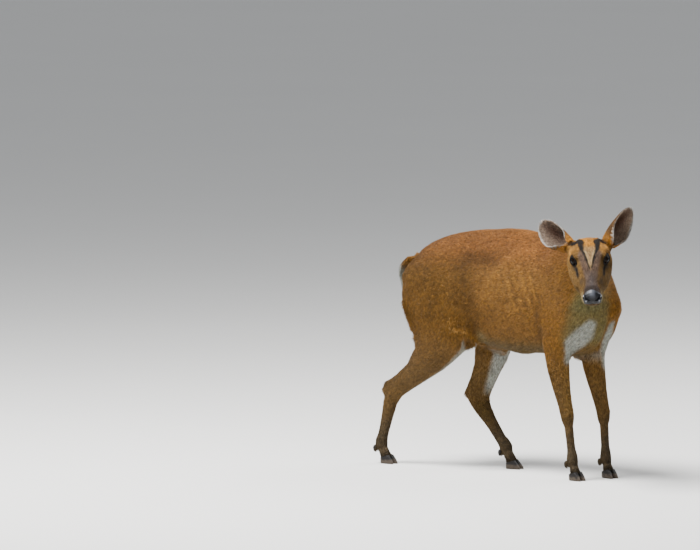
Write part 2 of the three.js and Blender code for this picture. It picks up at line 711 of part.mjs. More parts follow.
function addNeck() {
  const line = [point(196, -14, 436), point(236, -32, 456), point(272, -56, 476), point(300, -80, 492)];
  const solid = skin(line, UP, [...body, ...skull], { around: 28, along: 14, caps: 2, reach: 116 });
  add('neck', inside(solid, [neckBase, flipped(throat)]), COLOURS.flank);
}

function addHead() {
  const line = [onHead(26, -44, 0), onHead(80, -46, 0), onHead(130, -46, 0), onHead(174, -44, 0)];
  const detail = { around: 36, along: 25, caps: 5, reach: 84, step: 3 };
  let head = skin(line, headAxis(0, 1, 0), [...body, ...skull], detail);
  head = inside(head, [throat]);
  for (const eye of EYES) head = withEyeSocket(head, eye);
  for (const ear of Object.values(EARS)) head = head.subtract(earDisc(ear));
  head = withPits(withMouth(head, [...neck, ...skull]), [...neck, ...skull]);
  const pad = [
    plane(onHead(...NOSE_TOP), headAxis(...NOSE_SLOPE)),
    plane(onHead(...LIP_TOP), headAxis(0, 1, 0)),
  ];
  add('head', outside(head, pad), COLOURS.face);
  add('nose', inside(head, pad), COLOURS.nose, 0.35);
}

function addLeg(name, leg) {
  const forms = [...body, ...legForms[name].slice(3)];
  const joint = lowerJoint(leg);
  const line = leg.hip
    ? [at(leg.hip, 14, -leg.side * 4, 0), mid(leg.hip, leg.stifle, 0.55).add(point(-16, 0, 0)),
      mid(leg.stifle, leg.hock, 0.22).add(point(-14, 0, 6)), mid(leg.stifle, leg.hock, 0.6), at(leg.hock)]
    : [at(leg.shoulder, -22, 0, 20), mid(leg.shoulder, leg.elbow, 0.6), mid(leg.elbow, leg.knee, 0.3),
      mid(leg.elbow, leg.knee, 0.7), at(leg.knee)];
  const upper = skin(line, FRONT, forms, { around: 18, along: 16, caps: 2, reach: leg.hip ? 150 : 130 });
  add(`leg_${name}_upper`, inside(inside(upper, legRegion(leg)), [flipped(joint)]), COLOURS.flank);
  const top = leg.hip ? leg.hock : leg.knee;
  const shank = [at(top), mid(top, leg.fetlock, 0.5), at(leg.fetlock), mid(leg.fetlock, leg.hoof, 0.7)];
  const low = legForms[name].slice(2);
  let lower = skin(shank, facing(leg), low, { around: 12, along: 14, caps: 2, reach: 44, step: 2 });
  for (const claw of dewclaws(leg)) lower = lower.add(claw);
  add(`leg_${name}_lower`, inside(lower, [joint, flipped(coronet(leg))]), COLOURS.shank);
  for (const claw of [-1, 1]) {
    const whose = claw * leg.side > 0 ? 'outer' : 'inner';
    add(`hoof_${name}_${whose}`, clawSolid(leg, claw), COLOURS.horn, 0.5);
  }
}

// The tail leaves the rump, arches over and hangs down, broad and flat.
const TAIL_ROOT = point(-254, trunkLine(254), 458);
const TAIL_RINGS = [
  ring(point(-238, trunkLine(238), 457), 13, 9),
  ring(point(-268, -27, 461), 15, 9),
  ring(point(-289, -29, 448), 18, 8.5),
  ring(point(-295, -31, 430), 20, 8),
  ring(point(-286, -31, 402), 19, 7.5),
  ring(point(-281, -32, 366), 16, 6.5),
  ring(point(-272, -32, 332), 11, 5.5),
  ring(point(-264, -32, 308), 5, 3),
];

const tailRegion = [plane(TAIL_ROOT, point(-0.97, 0, 0.25)), plane(point(0, 0, 436), UP)];

function addTail() {
  const form = new Form(TAIL_RINGS, FRONT, { blend: 6 });
  const line = TAIL_RINGS.map((r) => r.centre);
  const tail = skin(line, FRONT, [form], { around: 14, along: 16, reach: 30, step: 2 });
  add('tail', inside(tail, tailRegion.slice(0, 1)), COLOURS.tail);
}

addTorso();
addNeck();
addHead();
for (const [name, ear] of Object.entries(EARS)) add(`ear_${name}`, earSolid(ear), COLOURS.ear);
for (const eye of EYES) {
  const radii = point(1, 1, 1).multiplyScalar(EYE_RADIUS);
  add(eye.name, ellipsoid(eye.centre, radii, eyeTurn(eye), [14, 10]), COLOURS.eye, 0.1);
}
for (const [name, leg] of Object.entries(LEGS)) addLeg(name, leg);
addTail();

// The origin lies under the middle of the whole animal, on the ground.
const muntjac = new THREE.Group();
muntjac.add(...meshes.values());
const box = new THREE.Box3().setFromObject(muntjac);
const centre = box.getCenter(new THREE.Vector3());
for (const { geometry } of meshes.values()) geometry.translate(-centre.x, -centre.y, -box.min.z);

export default muntjac;
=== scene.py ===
"""A red muntjac doe at life size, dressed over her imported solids.

Metres, in the solids' own frame: +X along the trunk towards the chest, +Y to her left, +Z up.
Sizes of the body are named in millimetres, as a modeller measures them, and turned to metres once.
"""

import logging
import math
from collections.abc import Sequence
from dataclasses import dataclass, field
from enum import Enum

import bpy
import numpy as np
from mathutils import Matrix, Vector
from mathutils.bvhtree import BVHTree
from numpy.linalg import norm


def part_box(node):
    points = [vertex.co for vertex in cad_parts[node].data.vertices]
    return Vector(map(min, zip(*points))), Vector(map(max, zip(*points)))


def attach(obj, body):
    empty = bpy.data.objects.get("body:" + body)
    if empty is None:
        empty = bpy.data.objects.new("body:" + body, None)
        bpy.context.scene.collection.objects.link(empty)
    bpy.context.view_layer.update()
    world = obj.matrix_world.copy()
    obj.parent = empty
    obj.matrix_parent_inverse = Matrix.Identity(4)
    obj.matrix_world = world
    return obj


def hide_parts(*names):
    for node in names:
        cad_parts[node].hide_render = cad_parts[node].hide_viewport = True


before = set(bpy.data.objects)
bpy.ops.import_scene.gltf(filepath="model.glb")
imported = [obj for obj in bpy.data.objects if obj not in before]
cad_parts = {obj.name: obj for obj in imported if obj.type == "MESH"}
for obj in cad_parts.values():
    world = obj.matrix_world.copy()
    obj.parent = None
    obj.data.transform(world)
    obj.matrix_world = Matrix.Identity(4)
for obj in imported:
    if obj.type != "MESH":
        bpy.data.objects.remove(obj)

log = logging.getLogger("muntjac")

Array = np.ndarray
Piece = bpy.types.Object
Material = bpy.types.Material
Mesh = bpy.types.Mesh
Colour = tuple[float, float, float]
Place = tuple[float, float, float]
Row = tuple[float, ...]
Line = tuple[Row, ...]

MM = 0.001
BODY = "root"
SEED = 20
EYE_NODES = ("eye_right", "eye_left")
LEG_NAMES = ("fore_right", "fore_left", "hind_right", "hind_left")


def unit(vectors: Array) -> Array:
    """Scale each vector, one a row, to length one."""
    length = norm(vectors, axis=-1, keepdims=True)
    return vectors / np.maximum(length, 1e-12)


def ramp(values: Array, low: float, high: float) -> Array:
    """Rise smoothly from 0 at low to 1 at high, or fall where high is below low."""
    share = np.clip((values - low) / (high - low), 0.0, 1.0)
    return share * share * (3.0 - 2.0 * share)


def bump(values: Array, centre: float | Array, width: float) -> Array:
    """A soft hump of height one round a centre."""
    return np.exp(-(((values - centre) / width) ** 2))


def to_line(points: Array, line: Array | Line) -> tuple[Array, Array, Array]:
    """Measure points against a chain of straight stretches.

    Args:
        points: Rows of coordinates.
        line: The chain's corners, as rows of as many coordinates.

    Returns:
        Each point's distance, its place on the chain from 0 to the number of stretches, and the
        direction of the nearest stretch.
    """
    line = np.array(line, float)
    best = np.full(len(points), np.inf)
    place = np.zeros(len(points))
    direction = np.zeros((len(points), line.shape[1]))
    for index, (start, stop) in enumerate(zip(line[:-1], line[1:])):
        span = stop - start
        share = np.clip((points - start) @ span / (span @ span), 0.0, 1.0)
        far = norm(points - start - share[:, None] * span, axis=1)
        near = far < best
        best[near] = far[near]
        place[near] = index + share[near]
        direction[near] = unit(span)
    return best, place, direction


class Side(Enum):
    """Which side of the animal a piece is on, as the sign of +Y."""

    RIGHT = -1
    LEFT = 1


@dataclass
class HeadPose:
    """The way the head is held, and its own axes: along the muzzle, above it and out to the left."""

    heading: float = math.radians(-48)
    pitch: float = math.radians(36)
    roll: float = math.radians(3)
    eyes_in_row: Place = (361.8, -157.2, 498.0)
    eyes_in_head: Place = (75.0, -25.0, 0.0)
    eyeballs_in_head: Place = (71.0, -20.0, 0.0)

    def __post_init__(self) -> None:
        """Work out the axes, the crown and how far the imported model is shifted."""
        view = np.array([math.cos(self.heading), math.sin(self.heading), 0.0])
        up = np.array([0.0, 0.0, 1.0])
        c, s = math.cos(self.pitch), math.sin(self.pitch)
        axes = np.array([view * c - up * s, view * s + up * c, [-view[1], view[0], 0.0]])
        turned = np.cross(view, axes) * math.sin(self.roll) + axes * math.cos(self.roll)
        self.axes = turned + np.outer(axes @ view, view) * (1 - math.cos(self.roll))
        self.view = view
        eyes = np.mean([np.mean([list(corner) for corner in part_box(name)], axis=0)
                        for name in EYE_NODES], axis=0)
        self.crown = eyes - np.array(self.eyeballs_in_head) @ self.axes * MM
        drawn = np.array(self.eyes_in_row) - np.array(self.eyes_in_head) @ self.axes
        self.shift = self.crown - drawn * MM

    def place(self, along: float, above: float, left: float) -> Array:
        """The place in the row frame of a point given in the head's axes, in millimetres."""
        return self.crown + np.array([along, above, left]) @ self.axes * MM

    def read(self, points: Array) -> Array:
        """Give points of the row frame in the head's axes, in millimetres."""
        return (points - self.crown) @ self.axes.T / MM

    def on_body(self, points: Sequence[Sequence[float]]) -> Array:
        """Bring points drawn on the body, in millimetres, to the row frame."""
        return np.array(points, float) * MM + self.shift

    def drawn(self, points: Array) -> Array:
        """Give points of the row frame as drawn on the body, in millimetres."""
        return (points - self.shift) / MM


class BodyLines:
    """Middle lines of trunk, legs and tail, in millimetres, as the body is drawn."""

    TRUNK_BOW = 0.000353
    LEGS = {
        "fore_right": [(238, -58, 392), (184, -64, 300), (212, -62, 150), (229, -61, 46), (244, -62, 0)],
        "fore_left": [(255, 28, 384), (203, 34, 300), (236, 33, 149), (247, 31, 46), (261, 29, 0)],
        "hind_right": [(-190, -60, 432), (-104, -68, 290), (-299, -68, 161), (-333, -66, 44),
                       (-310, -66, 0)],
        "hind_left": [(-190, 36, 432), (-64, 46, 345), (-139, 36, 152), (-48, 34, 46), (-24, 35, 0)],
    }
    LEG_HEADINGS = {"fore_right": -6, "fore_left": -9, "hind_right": 2, "hind_left": 12}
    TAIL = [(-238, -20, 457), (-268, -27, 461), (-289, -29, 448), (-295, -31, 430), (-286, -31, 402),
            (-281, -32, 366), (-272, -32, 332), (-264, -32, 308)]
    NECK = [(196, -14, 436), (236, -32, 456), (272, -56, 476), (300, -80, 492)]

    @classmethod
    def beside(cls, drawn: Array) -> Array:
        """How far points lie to the left of the trunk's middle, in millimetres."""
        return drawn[:, 1] + cls.TRUNK_BOW * drawn[:, 0] ** 2


@dataclass
class Ear:
    """One ear's own frame: z up the ear, x out of the cup, y across. Sizes in millimetres."""

    side: Side
    pose: HeadPose
    root_in_head: Place = (16.0, -40.0, 33.0)
    foot: float = 12.0
    length: float = 109.0
    width: float = 26.0
    middle: float = 60.0
    reach: float = 80.0
    shares: Row = (0.0, 0.15, 0.32, 0.52, 0.74, 0.9, 1.0)
    half_widths: Row = (0.64, 0.82, 0.98, 1.04, 0.9, 0.56, 0.1)
    angle_shares: Row = (0.0, 0.14, 0.3, 0.5, 0.75, 1.0)
    half_angles: Row = (172.0, 150.0, 112.0, 84.0, 64.0, 46.0)
    back_shares: Row = (0.0, 0.25, 0.5, 0.8, 1.0)
    backs: Row = (-14.0, -17.0, -15.0, -7.0, 2.0)
    right_spread: Place = (34.0, 52.0, 0.0)
    left_spread: Place = (12.0, 33.0, 44.0)

    def __post_init__(self) -> None:
        """Set the ear's frame on the head from the angles at which it is held."""
        side, pose = self.side, self.pose
        spread = self.left_spread if side is Side.LEFT else self.right_spread
        back, lean, turn = (math.radians(v) for v in spread)
        aside = np.array([-pose.view[1], pose.view[0], 0.0])
        up = np.array([0.0, 0.0, 1.0])
        axis = (aside * math.sin(lean) * side.value + up * math.cos(lean)) * math.cos(back)
        axis = axis - pose.view * math.sin(back)
        face = pose.view * math.cos(turn) + aside * side.value * math.sin(turn)
        face = unit(face - axis * (face @ axis))
        self.axes = np.array([face, np.cross(axis, face), axis])
        along, above, out = self.root_in_head
        self.root = pose.place(along, above, side.value * out)

    def read(self, points: Array) -> Array:
        """Give points of the row frame in the ear's own frame, in millimetres."""
        return (points - self.root) @ self.axes.T / MM

    def share(self, local: Array) -> Array:
        """How far up the ear points lie, from 0 at its foot to 1 at its tip."""
        return np.clip((local[:, 2] - self.foot) / (self.length - self.foot), 0.0, 1.0)

    def sweep(self, local: Array) -> tuple[Array, Array]:
        """Say where on the cup's wall points lie.

        Args:
            local: Points in the ear's own frame.

        Returns:
            The angle from the wall's middle as a share of the half angle, with sign, and the
            direction from the cup's middle to each point across the ear.
        """
        share = self.share(local)
        half = np.radians(np.interp(share, self.angle_shares, self.half_angles))
        width = self.width * np.interp(share, self.shares, self.half_widths)
        radius = np.where(half < math.pi / 2, width / np.sin(np.minimum(half, 1.57)), width)
        middle = np.interp(share, self.back_shares, self.backs) + radius
        away = np.stack([local[:, 0] - middle, local[:, 1]], axis=1)
        return np.arctan2(away[:, 1], -away[:, 0]) / half, unit(away)

    def near(self, local: Array) -> Array:
        """Whether points, in the ear's own frame, belong to this ear."""
        return norm(local - [0, 0, self.middle], axis=1) < self.reach

    def inner(self, normals: Array, away: Array) -> Array:
        """How far directions face into the cup, from 0 to 1."""
        return ramp(-((normals @ self.axes.T)[:, :2] * away).sum(axis=1), -0.1, 0.3)


@dataclass(frozen=True)
class Pelt:
    """Hair and skin of one region, in millimetres and degrees.

    depth is how far the skin lies under the solid's surface, ease how much its facets are rounded
    off, density the number of tufts on each square millimetre, and pieces how many meshes hold them.
    """

    slot: str
    depth: float
    length: float
    width: float
    lift: float
    density: float
    ease: float
    pieces: int = 1


class Region(Enum):
    """The regions of the coat, each with its pelt."""

    TRUNK = Pelt("coat", 1.8, 10.5, 1.25, 12.0, 0.50, 1.0, 4)
    NECK = Pelt("coat", 1.9, 12.0, 1.25, 12.0, 0.54, 1.0)
    THIGH = Pelt("coat", 1.5, 9.5, 1.20, 11.0, 0.52, 0.9, 3)
    SHANK = Pelt("shank", 0.7, 6.0, 0.95, 11.0, 0.70, 0.35)
    FACE = Pelt("face", 0.6, 4.4, 0.72, 14.0, 1.20, 0.2, 2)
    NOSE = Pelt("nose", 0.1, 2.0, 0.50, 12.0, 0.0, 0.15, 0)
    EAR = Pelt("ear", 0.2, 4.0, 0.60, 12.0, 0.85, 0.2)
    TAIL = Pelt("tail", 1.8, 9.0, 1.20, 8.0, 0.80, 0.5)

    @property
    def number(self) -> int:
        """The region's column in a table of all regions."""
        return list(Region).index(self)

    @classmethod
    def of(cls, node: str) -> "Region":
        """Find the region that a solid node belongs to.

        Args:
            node: The node's name.

        Returns:
            Its region.
        """
        if node.startswith("leg_"):
            return cls.THIGH if node.endswith("upper") else cls.SHANK
        if node.startswith("ear_"):
            return cls.EAR
        return {"torso": cls.TRUNK, "neck": cls.NECK, "nose": cls.NOSE, "tail": cls.TAIL}.get(node, cls.FACE)


REGIONS = list(Region)
FLESH = ["torso", "neck", "head", "nose", "ear_left", "ear_right", "tail",
         *[f"leg_{name}_{part}" for name in LEG_NAMES for part in ("upper", "lower")]]


def take(*objects: Piece) -> None:
    """Select objects alone and make the first of them active.

    Args:
        objects: What to select.
    """
    bpy.ops.object.select_all(action="DESELECT")
    for thing in objects:
        thing.select_set(True)
    bpy.context.view_layer.objects.active = objects[0]


def mode(name: str) -> None:
    """Switch the active object's mode."""
    bpy.ops.object.mode_set(mode=name)


def copy_solid(node: str) -> Piece:
    """Copy a solid node as a free, visible object.

    Args:
        node: The node's name.

    Returns:
        The copy, with a mesh of its own.
    """
    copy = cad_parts[node].copy()
    copy.data = copy.data.copy()
    copy.parent = None
    copy.hide_viewport = copy.hide_render = False
    for key in [key for key in copy.keys() if key.startswith("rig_")]:
        del copy[key]
    bpy.context.collection.objects.link(copy)
    return copy


def weld(piece: Piece, swell: float = 0.0) -> None:
    """Merge the doubled vertices of a copied solid, and push its faces out.

    Args:
        piece: The copy. It is left selected alone.
        swell: How far the faces move outwards, in millimetres.
    """
    take(piece)
    mode("EDIT")
    bpy.ops.mesh.select_all(action="SELECT")
    bpy.ops.mesh.remove_doubles(threshold=0.01 * MM)
    bpy.ops.transform.shrink_fatten(value=swell * MM)
    mode("OBJECT")


def dress(piece: Piece, material: Material) -> None:
    """Shade a piece smoothly and give it its finish.

    Args:
        piece: The piece. It is left selected alone.
        material: Its finish.
    """
    take(piece)
    bpy.ops.object.shade_smooth()
    piece.data.materials.append(material)


def read_rows(items: bpy.types.bpy_prop_collection, name: str, kind: type = float) -> Array:
    """Read three numbers from each of a mesh's vertices or faces.

    Args:
        items: The vertices or faces.
        name: What to read.
        kind: The kind of number.

    Returns:
        One row for each.
    """
    values = np.empty(len(items) * 3, kind)
    items.foreach_get(name, values)
    return values.reshape(-1, 3)


def read_positions(mesh: Mesh) -> Array:
    """The mesh's vertex positions as rows."""
    return read_rows(mesh.vertices, "co")


def write_positions(mesh: Mesh, positions: Array) -> None:
    """Set the mesh's vertex positions from rows."""
    mesh.vertices.foreach_set("co", positions.astype(np.float32).ravel())
    mesh.update()


def read_normals(mesh: Mesh) -> Array:
    """The mesh's vertex normals as rows."""
    return read_rows(mesh.vertex_normals, "vector", np.float32).astype(float)


def read_centres(mesh: Mesh) -> Array:
    """The middles of the mesh's faces as rows."""
    return read_rows(mesh.polygons, "center")


def read_corners(mesh: Mesh) -> Array:
    """The vertex numbers of each triangle of a mesh, as rows."""
    mesh.calc_loop_triangles()
    return read_rows(mesh.loop_triangles, "vertices", np.int32)


def paint(mesh: Mesh, name: str, colours: Array) -> None:
    """Store a colour on each vertex.

    Args:
        mesh: The mesh to colour.
        name: The attribute's name.
        colours: One row of red, green and blue for each vertex.
    """
    layer = mesh.attributes.new(name, "FLOAT_COLOR", "POINT")
    full = np.concatenate([colours, np.ones((len(colours), 1))], axis=1)
    layer.data.foreach_set("color", full.astype(np.float32).ravel())


def store(mesh: Mesh, name: str, values: Array) -> None:
    """Store a number on each vertex under a name."""
    layer = mesh.attributes.new(name, "FLOAT", "POINT")
    layer.data.foreach_set("value", values.astype(np.float32))


class Value:
    """A shader socket that takes part in Python expressions."""

    def __init__(self, material: "NodePainter", socket: bpy.types.NodeSocket) -> None:
        """Wrap a socket of a material's tree."""
        self.material = material
        self.socket = socket

    def _math(self, operation: str, first: "Value | float", second: "Value | float") -> "Value":
        """Add a Math node on two values and give its result."""
        return self.material.node("ShaderNodeMath", {"operation": operation}, {0: first, 1: second})

    def __add__(self, other: "Value | float") -> "Value":
        """This value plus another."""
        return self._math("ADD", self, other)

    def __sub__(self, other: "Value | float") -> "Value":
        """This value less another."""
        return self._math("SUBTRACT", self, other)

    def __rsub__(self, other: "Value | float") -> "Value":
        """Another value less this one."""
        return self._math("SUBTRACT", other, self)

    def __mul__(self, other: "Value | float") -> "Value":
        """This value times another."""
        return self._math("MULTIPLY", self, other)

    __radd__ = __add__

    def above(self, edge: float, soft: float) -> "Value":
        """Rise smoothly from 0 to 1 across an edge.

        Args:
            edge: Where the rise is half way.
            soft: How wide the rise is.

        Returns:
            The result as a value.
        """
        settings = {"interpolation_type": "SMOOTHSTEP"}
        inputs = {0: self, 1: edge - soft / 2, 2: edge + soft / 2, 3: 0.0, 4: 1.0}
        return self.material.node("ShaderNodeMapRange", settings, inputs)


class NodePainter:
    """Makes the nodes of one material. What varies goes to the shader's baked inputs alone."""

    def __init__(self, name: str, **constants: float | Colour) -> None:
        """Start a material with a Principled shader.

        Args:
            name: The material's name.
            constants: Shader inputs that are the same all over, with spaces as underscores.
        """
        self.material = bpy.data.materials.new(name)
        self.material.use_nodes = True
        self.nodes = self.material.node_tree.nodes
        self.links = self.material.node_tree.links
        self.shader = next(n for n in self.nodes if n.type == "BSDF_PRINCIPLED")
        for key, value in constants.items():
            socket = self.shader.inputs[key.replace("_", " ")]
            socket.default_value = (*value, 1.0) if isinstance(value, tuple) else value

    def node(self, kind: str, settings: dict, inputs: dict, output: int | str = 0) -> Value:
        """Add a node of any type.

        Args:
            kind: The node's type name.
            settings: Its properties, set before its sockets are read.
            inputs: Numbers, tuples or values for its sockets, by name or number.
            output: Which of its outputs to give back.

        Returns:
            The chosen output as a value.
        """
        made = self.nodes.new(kind)
        for key, value in settings.items():
            setattr(made, key, value)
        for key, value in inputs.items():
            if isinstance(value, Value):
                self.links.new(value.socket, made.inputs[key])
            else:
                made.inputs[key].default_value = value
        return Value(self, made.outputs[output])

    def attribute(self, name: str, output: str = "Color") -> Value:
        """Read an attribute of the piece."""
        return self.node("ShaderNodeAttribute", {"attribute_name": name}, {}, output)

    def noise(self, scale: float, detail: float = 2.0) -> Value:
        """Noise on Object coordinates, from 0 to 1."""
        place = self.node("ShaderNodeTexCoord", {}, {}, "Object")
        return self.node("ShaderNodeTexNoise", {}, {"Vector": place, "Scale": scale, "Detail": detail}, 0)

    def shade(self, colour: Value, factor: Value) -> Value:
        """Darken or lighten a colour by a number."""
        return self.node("ShaderNodeVectorMath", {"operation": "SCALE"}, {0: colour, "Scale": factor}, 0)

    def mix(self, factor: Value, first: Value | Colour, second: Value | Colour) -> Value:
        """Mix two colours.

        Args:
            factor: 0 gives the first colour and 1 the second.
            first: One colour.
            second: The other.

        Returns:
            The mixed colour.
        """
        ends = [v if isinstance(v, Value) else (*v, 1.0) for v in (first, second)]
        inputs = {"Factor": factor, 6: ends[0], 7: ends[1]}
        return self.node("ShaderNodeMix", {"data_type": "RGBA"}, inputs, 2)

    def feed(self, **inputs: Value) -> None:
        """Link values to the shader's inputs, named with underscores for spaces."""
        for key, value in inputs.items():
            self.links.new(value.socket, self.shader.inputs[key.replace("_", " ")])

    def relief(self, height: Value, strength: float, distance: float) -> None:
        """Feed a height through a Bump node to the shader's Normal."""
        inputs = {"Strength": strength, "Distance": distance, "Height": height}
        self.feed(Normal=self.node("ShaderNodeBump", {}, inputs))


@dataclass(frozen=True)
class HairFinish:
    """Short hair: the markings' colour with a fine grain, matt and slightly soft at the edges."""

    name: str = "hair"
    roughness: float = 0.6
    sheen: float = 0.03

    def make(self) -> Material:
        """Build the material.

        Returns:
            The material.
        """
        painter = NodePainter(self.name, Roughness=self.roughness, Specular_IOR_Level=0.2,
                              Sheen_Weight=self.sheen, Sheen_Roughness=0.45)
        grain = painter.noise(700.0, 1.0) * 0.6 + 0.7
        clumps = painter.noise(150.0, 2.0) * 1.3 + 0.35
        drift = painter.noise(24.0, 3.0) * 0.5 + 0.75
        painter.feed(Base_Color=painter.shade(painter.attribute("markings"), grain * clumps * drift))
        return painter.material


@dataclass(frozen=True)
class SkinFinish:
    """Skin under the hair, in the same markings darkened as painted shade under the coat, with bare moist
    skin at full tone on nose and lids.
    """

    name: str = "skin"

    def make(self) -> Material:
        """Build the material.

        Returns:
            The material.
        """
        painter = NodePainter(self.name, Specular_IOR_Level=0.4)
        bare = painter.attribute("bare", "Fac")
        drift = painter.noise(24.0, 3.0) * 0.36 + 0.82
        # Painted shade: where hair covers the skin its colour is darkened to 0.42, as if in the coat's
        # shadow; bare skin keeps full tone.
        tone = painter.shade(painter.attribute("markings"), drift * (0.42 + bare * 0.58))
        wet = 0.85 - bare * 0.55 + bare * painter.noise(500.0, 2.0) * 0.16
        cobbles = painter.node("ShaderNodeTexVoronoi", {"feature": "SMOOTH_F1"}, {
            "Vector": painter.node("ShaderNodeTexCoord", {}, {}, "Object"),
            "Scale": 850.0, "Smoothness": 0.4}, 0)
        painter.feed(Base_Color=tone, Roughness=wet)
        painter.relief(cobbles * bare * 0.7 + painter.noise(1400.0, 2.0), 0.5, 0.0004)
        return painter.material


@dataclass(frozen=True)
class EyeFinish:
    """A wet dark eye: brown iris, lying oval pupil and a dark rim."""

    iris: Colour = (0.028, 0.012, 0.005)
    edge: Colour = (0.006, 0.004, 0.003)
    pupil: Colour = (0.0015, 0.0015, 0.002)

    def make(self) -> Material:
        """Build the material.

        Returns:
            The material.
        """
        painter = NodePainter("eye", Roughness=0.2, Coat_Weight=1.0, Coat_Roughness=0.02, Coat_IOR=1.2,
                              Specular_IOR_Level=0.06)
        streaks = painter.noise(700.0, 3.0)
        ring = painter.attribute("rim", "Fac").above(0.78, 0.18)
        iris = painter.mix(streaks.above(0.5, 0.5), self.edge, self.iris)
        colour = painter.mix(ring, iris, self.edge)
        colour = painter.mix(painter.attribute("pupil", "Fac").above(0.5, 0.15), colour, self.pupil)
        painter.feed(Base_Color=colour)
        return painter.material


@dataclass(frozen=True)
class HornFinish:
    """Dark horn of claws, with fine growth lines and a dusty, worn edge."""

    dark: Colour = (0.012, 0.010, 0.009)
    worn: Colour = (0.075, 0.058, 0.043)

    def make(self) -> Material:
        """Build the material.

        Returns:
            The material.
        """
        painter = NodePainter("horn", Specular_IOR_Level=0.45)
        place = painter.node("ShaderNodeTexCoord", {}, {}, "Object")
        rings = painter.node("ShaderNodeTexWave", {"bands_direction": "Z"}, {
            "Vector": place, "Scale": 190.0, "Distortion": 3.0, "Detail": 2.0,
            "Detail Scale": 2.0}, "Fac")
        height = painter.node("ShaderNodeSeparateXYZ", {}, {"Vector": place}, "Z")
        wear = painter.noise(160.0, 4.0) * (1.0 - height.above(0.011, 0.014))
        painter.feed(Base_Color=painter.mix(wear.above(0.32, 0.3), self.dark, self.worn),
                     Roughness=0.42 + painter.noise(300.0, 2.0) * 0.2)
        painter.relief(rings, 0.35, 0.0004)
        return painter.material


@dataclass(frozen=True)
class LashFinish:
    """Black lashes and whiskers."""

    colour: Colour = (0.006, 0.005, 0.005)
    lighter: Colour = (0.014, 0.011, 0.009)

    def make(self) -> Material:
        """Build the material.

        Returns:
            The material.
        """
        painter = NodePainter("lash", Roughness=0.4)
        painter.feed(Base_Color=painter.mix(painter.noise(400.0), self.colour, self.lighter))
        return painter.material


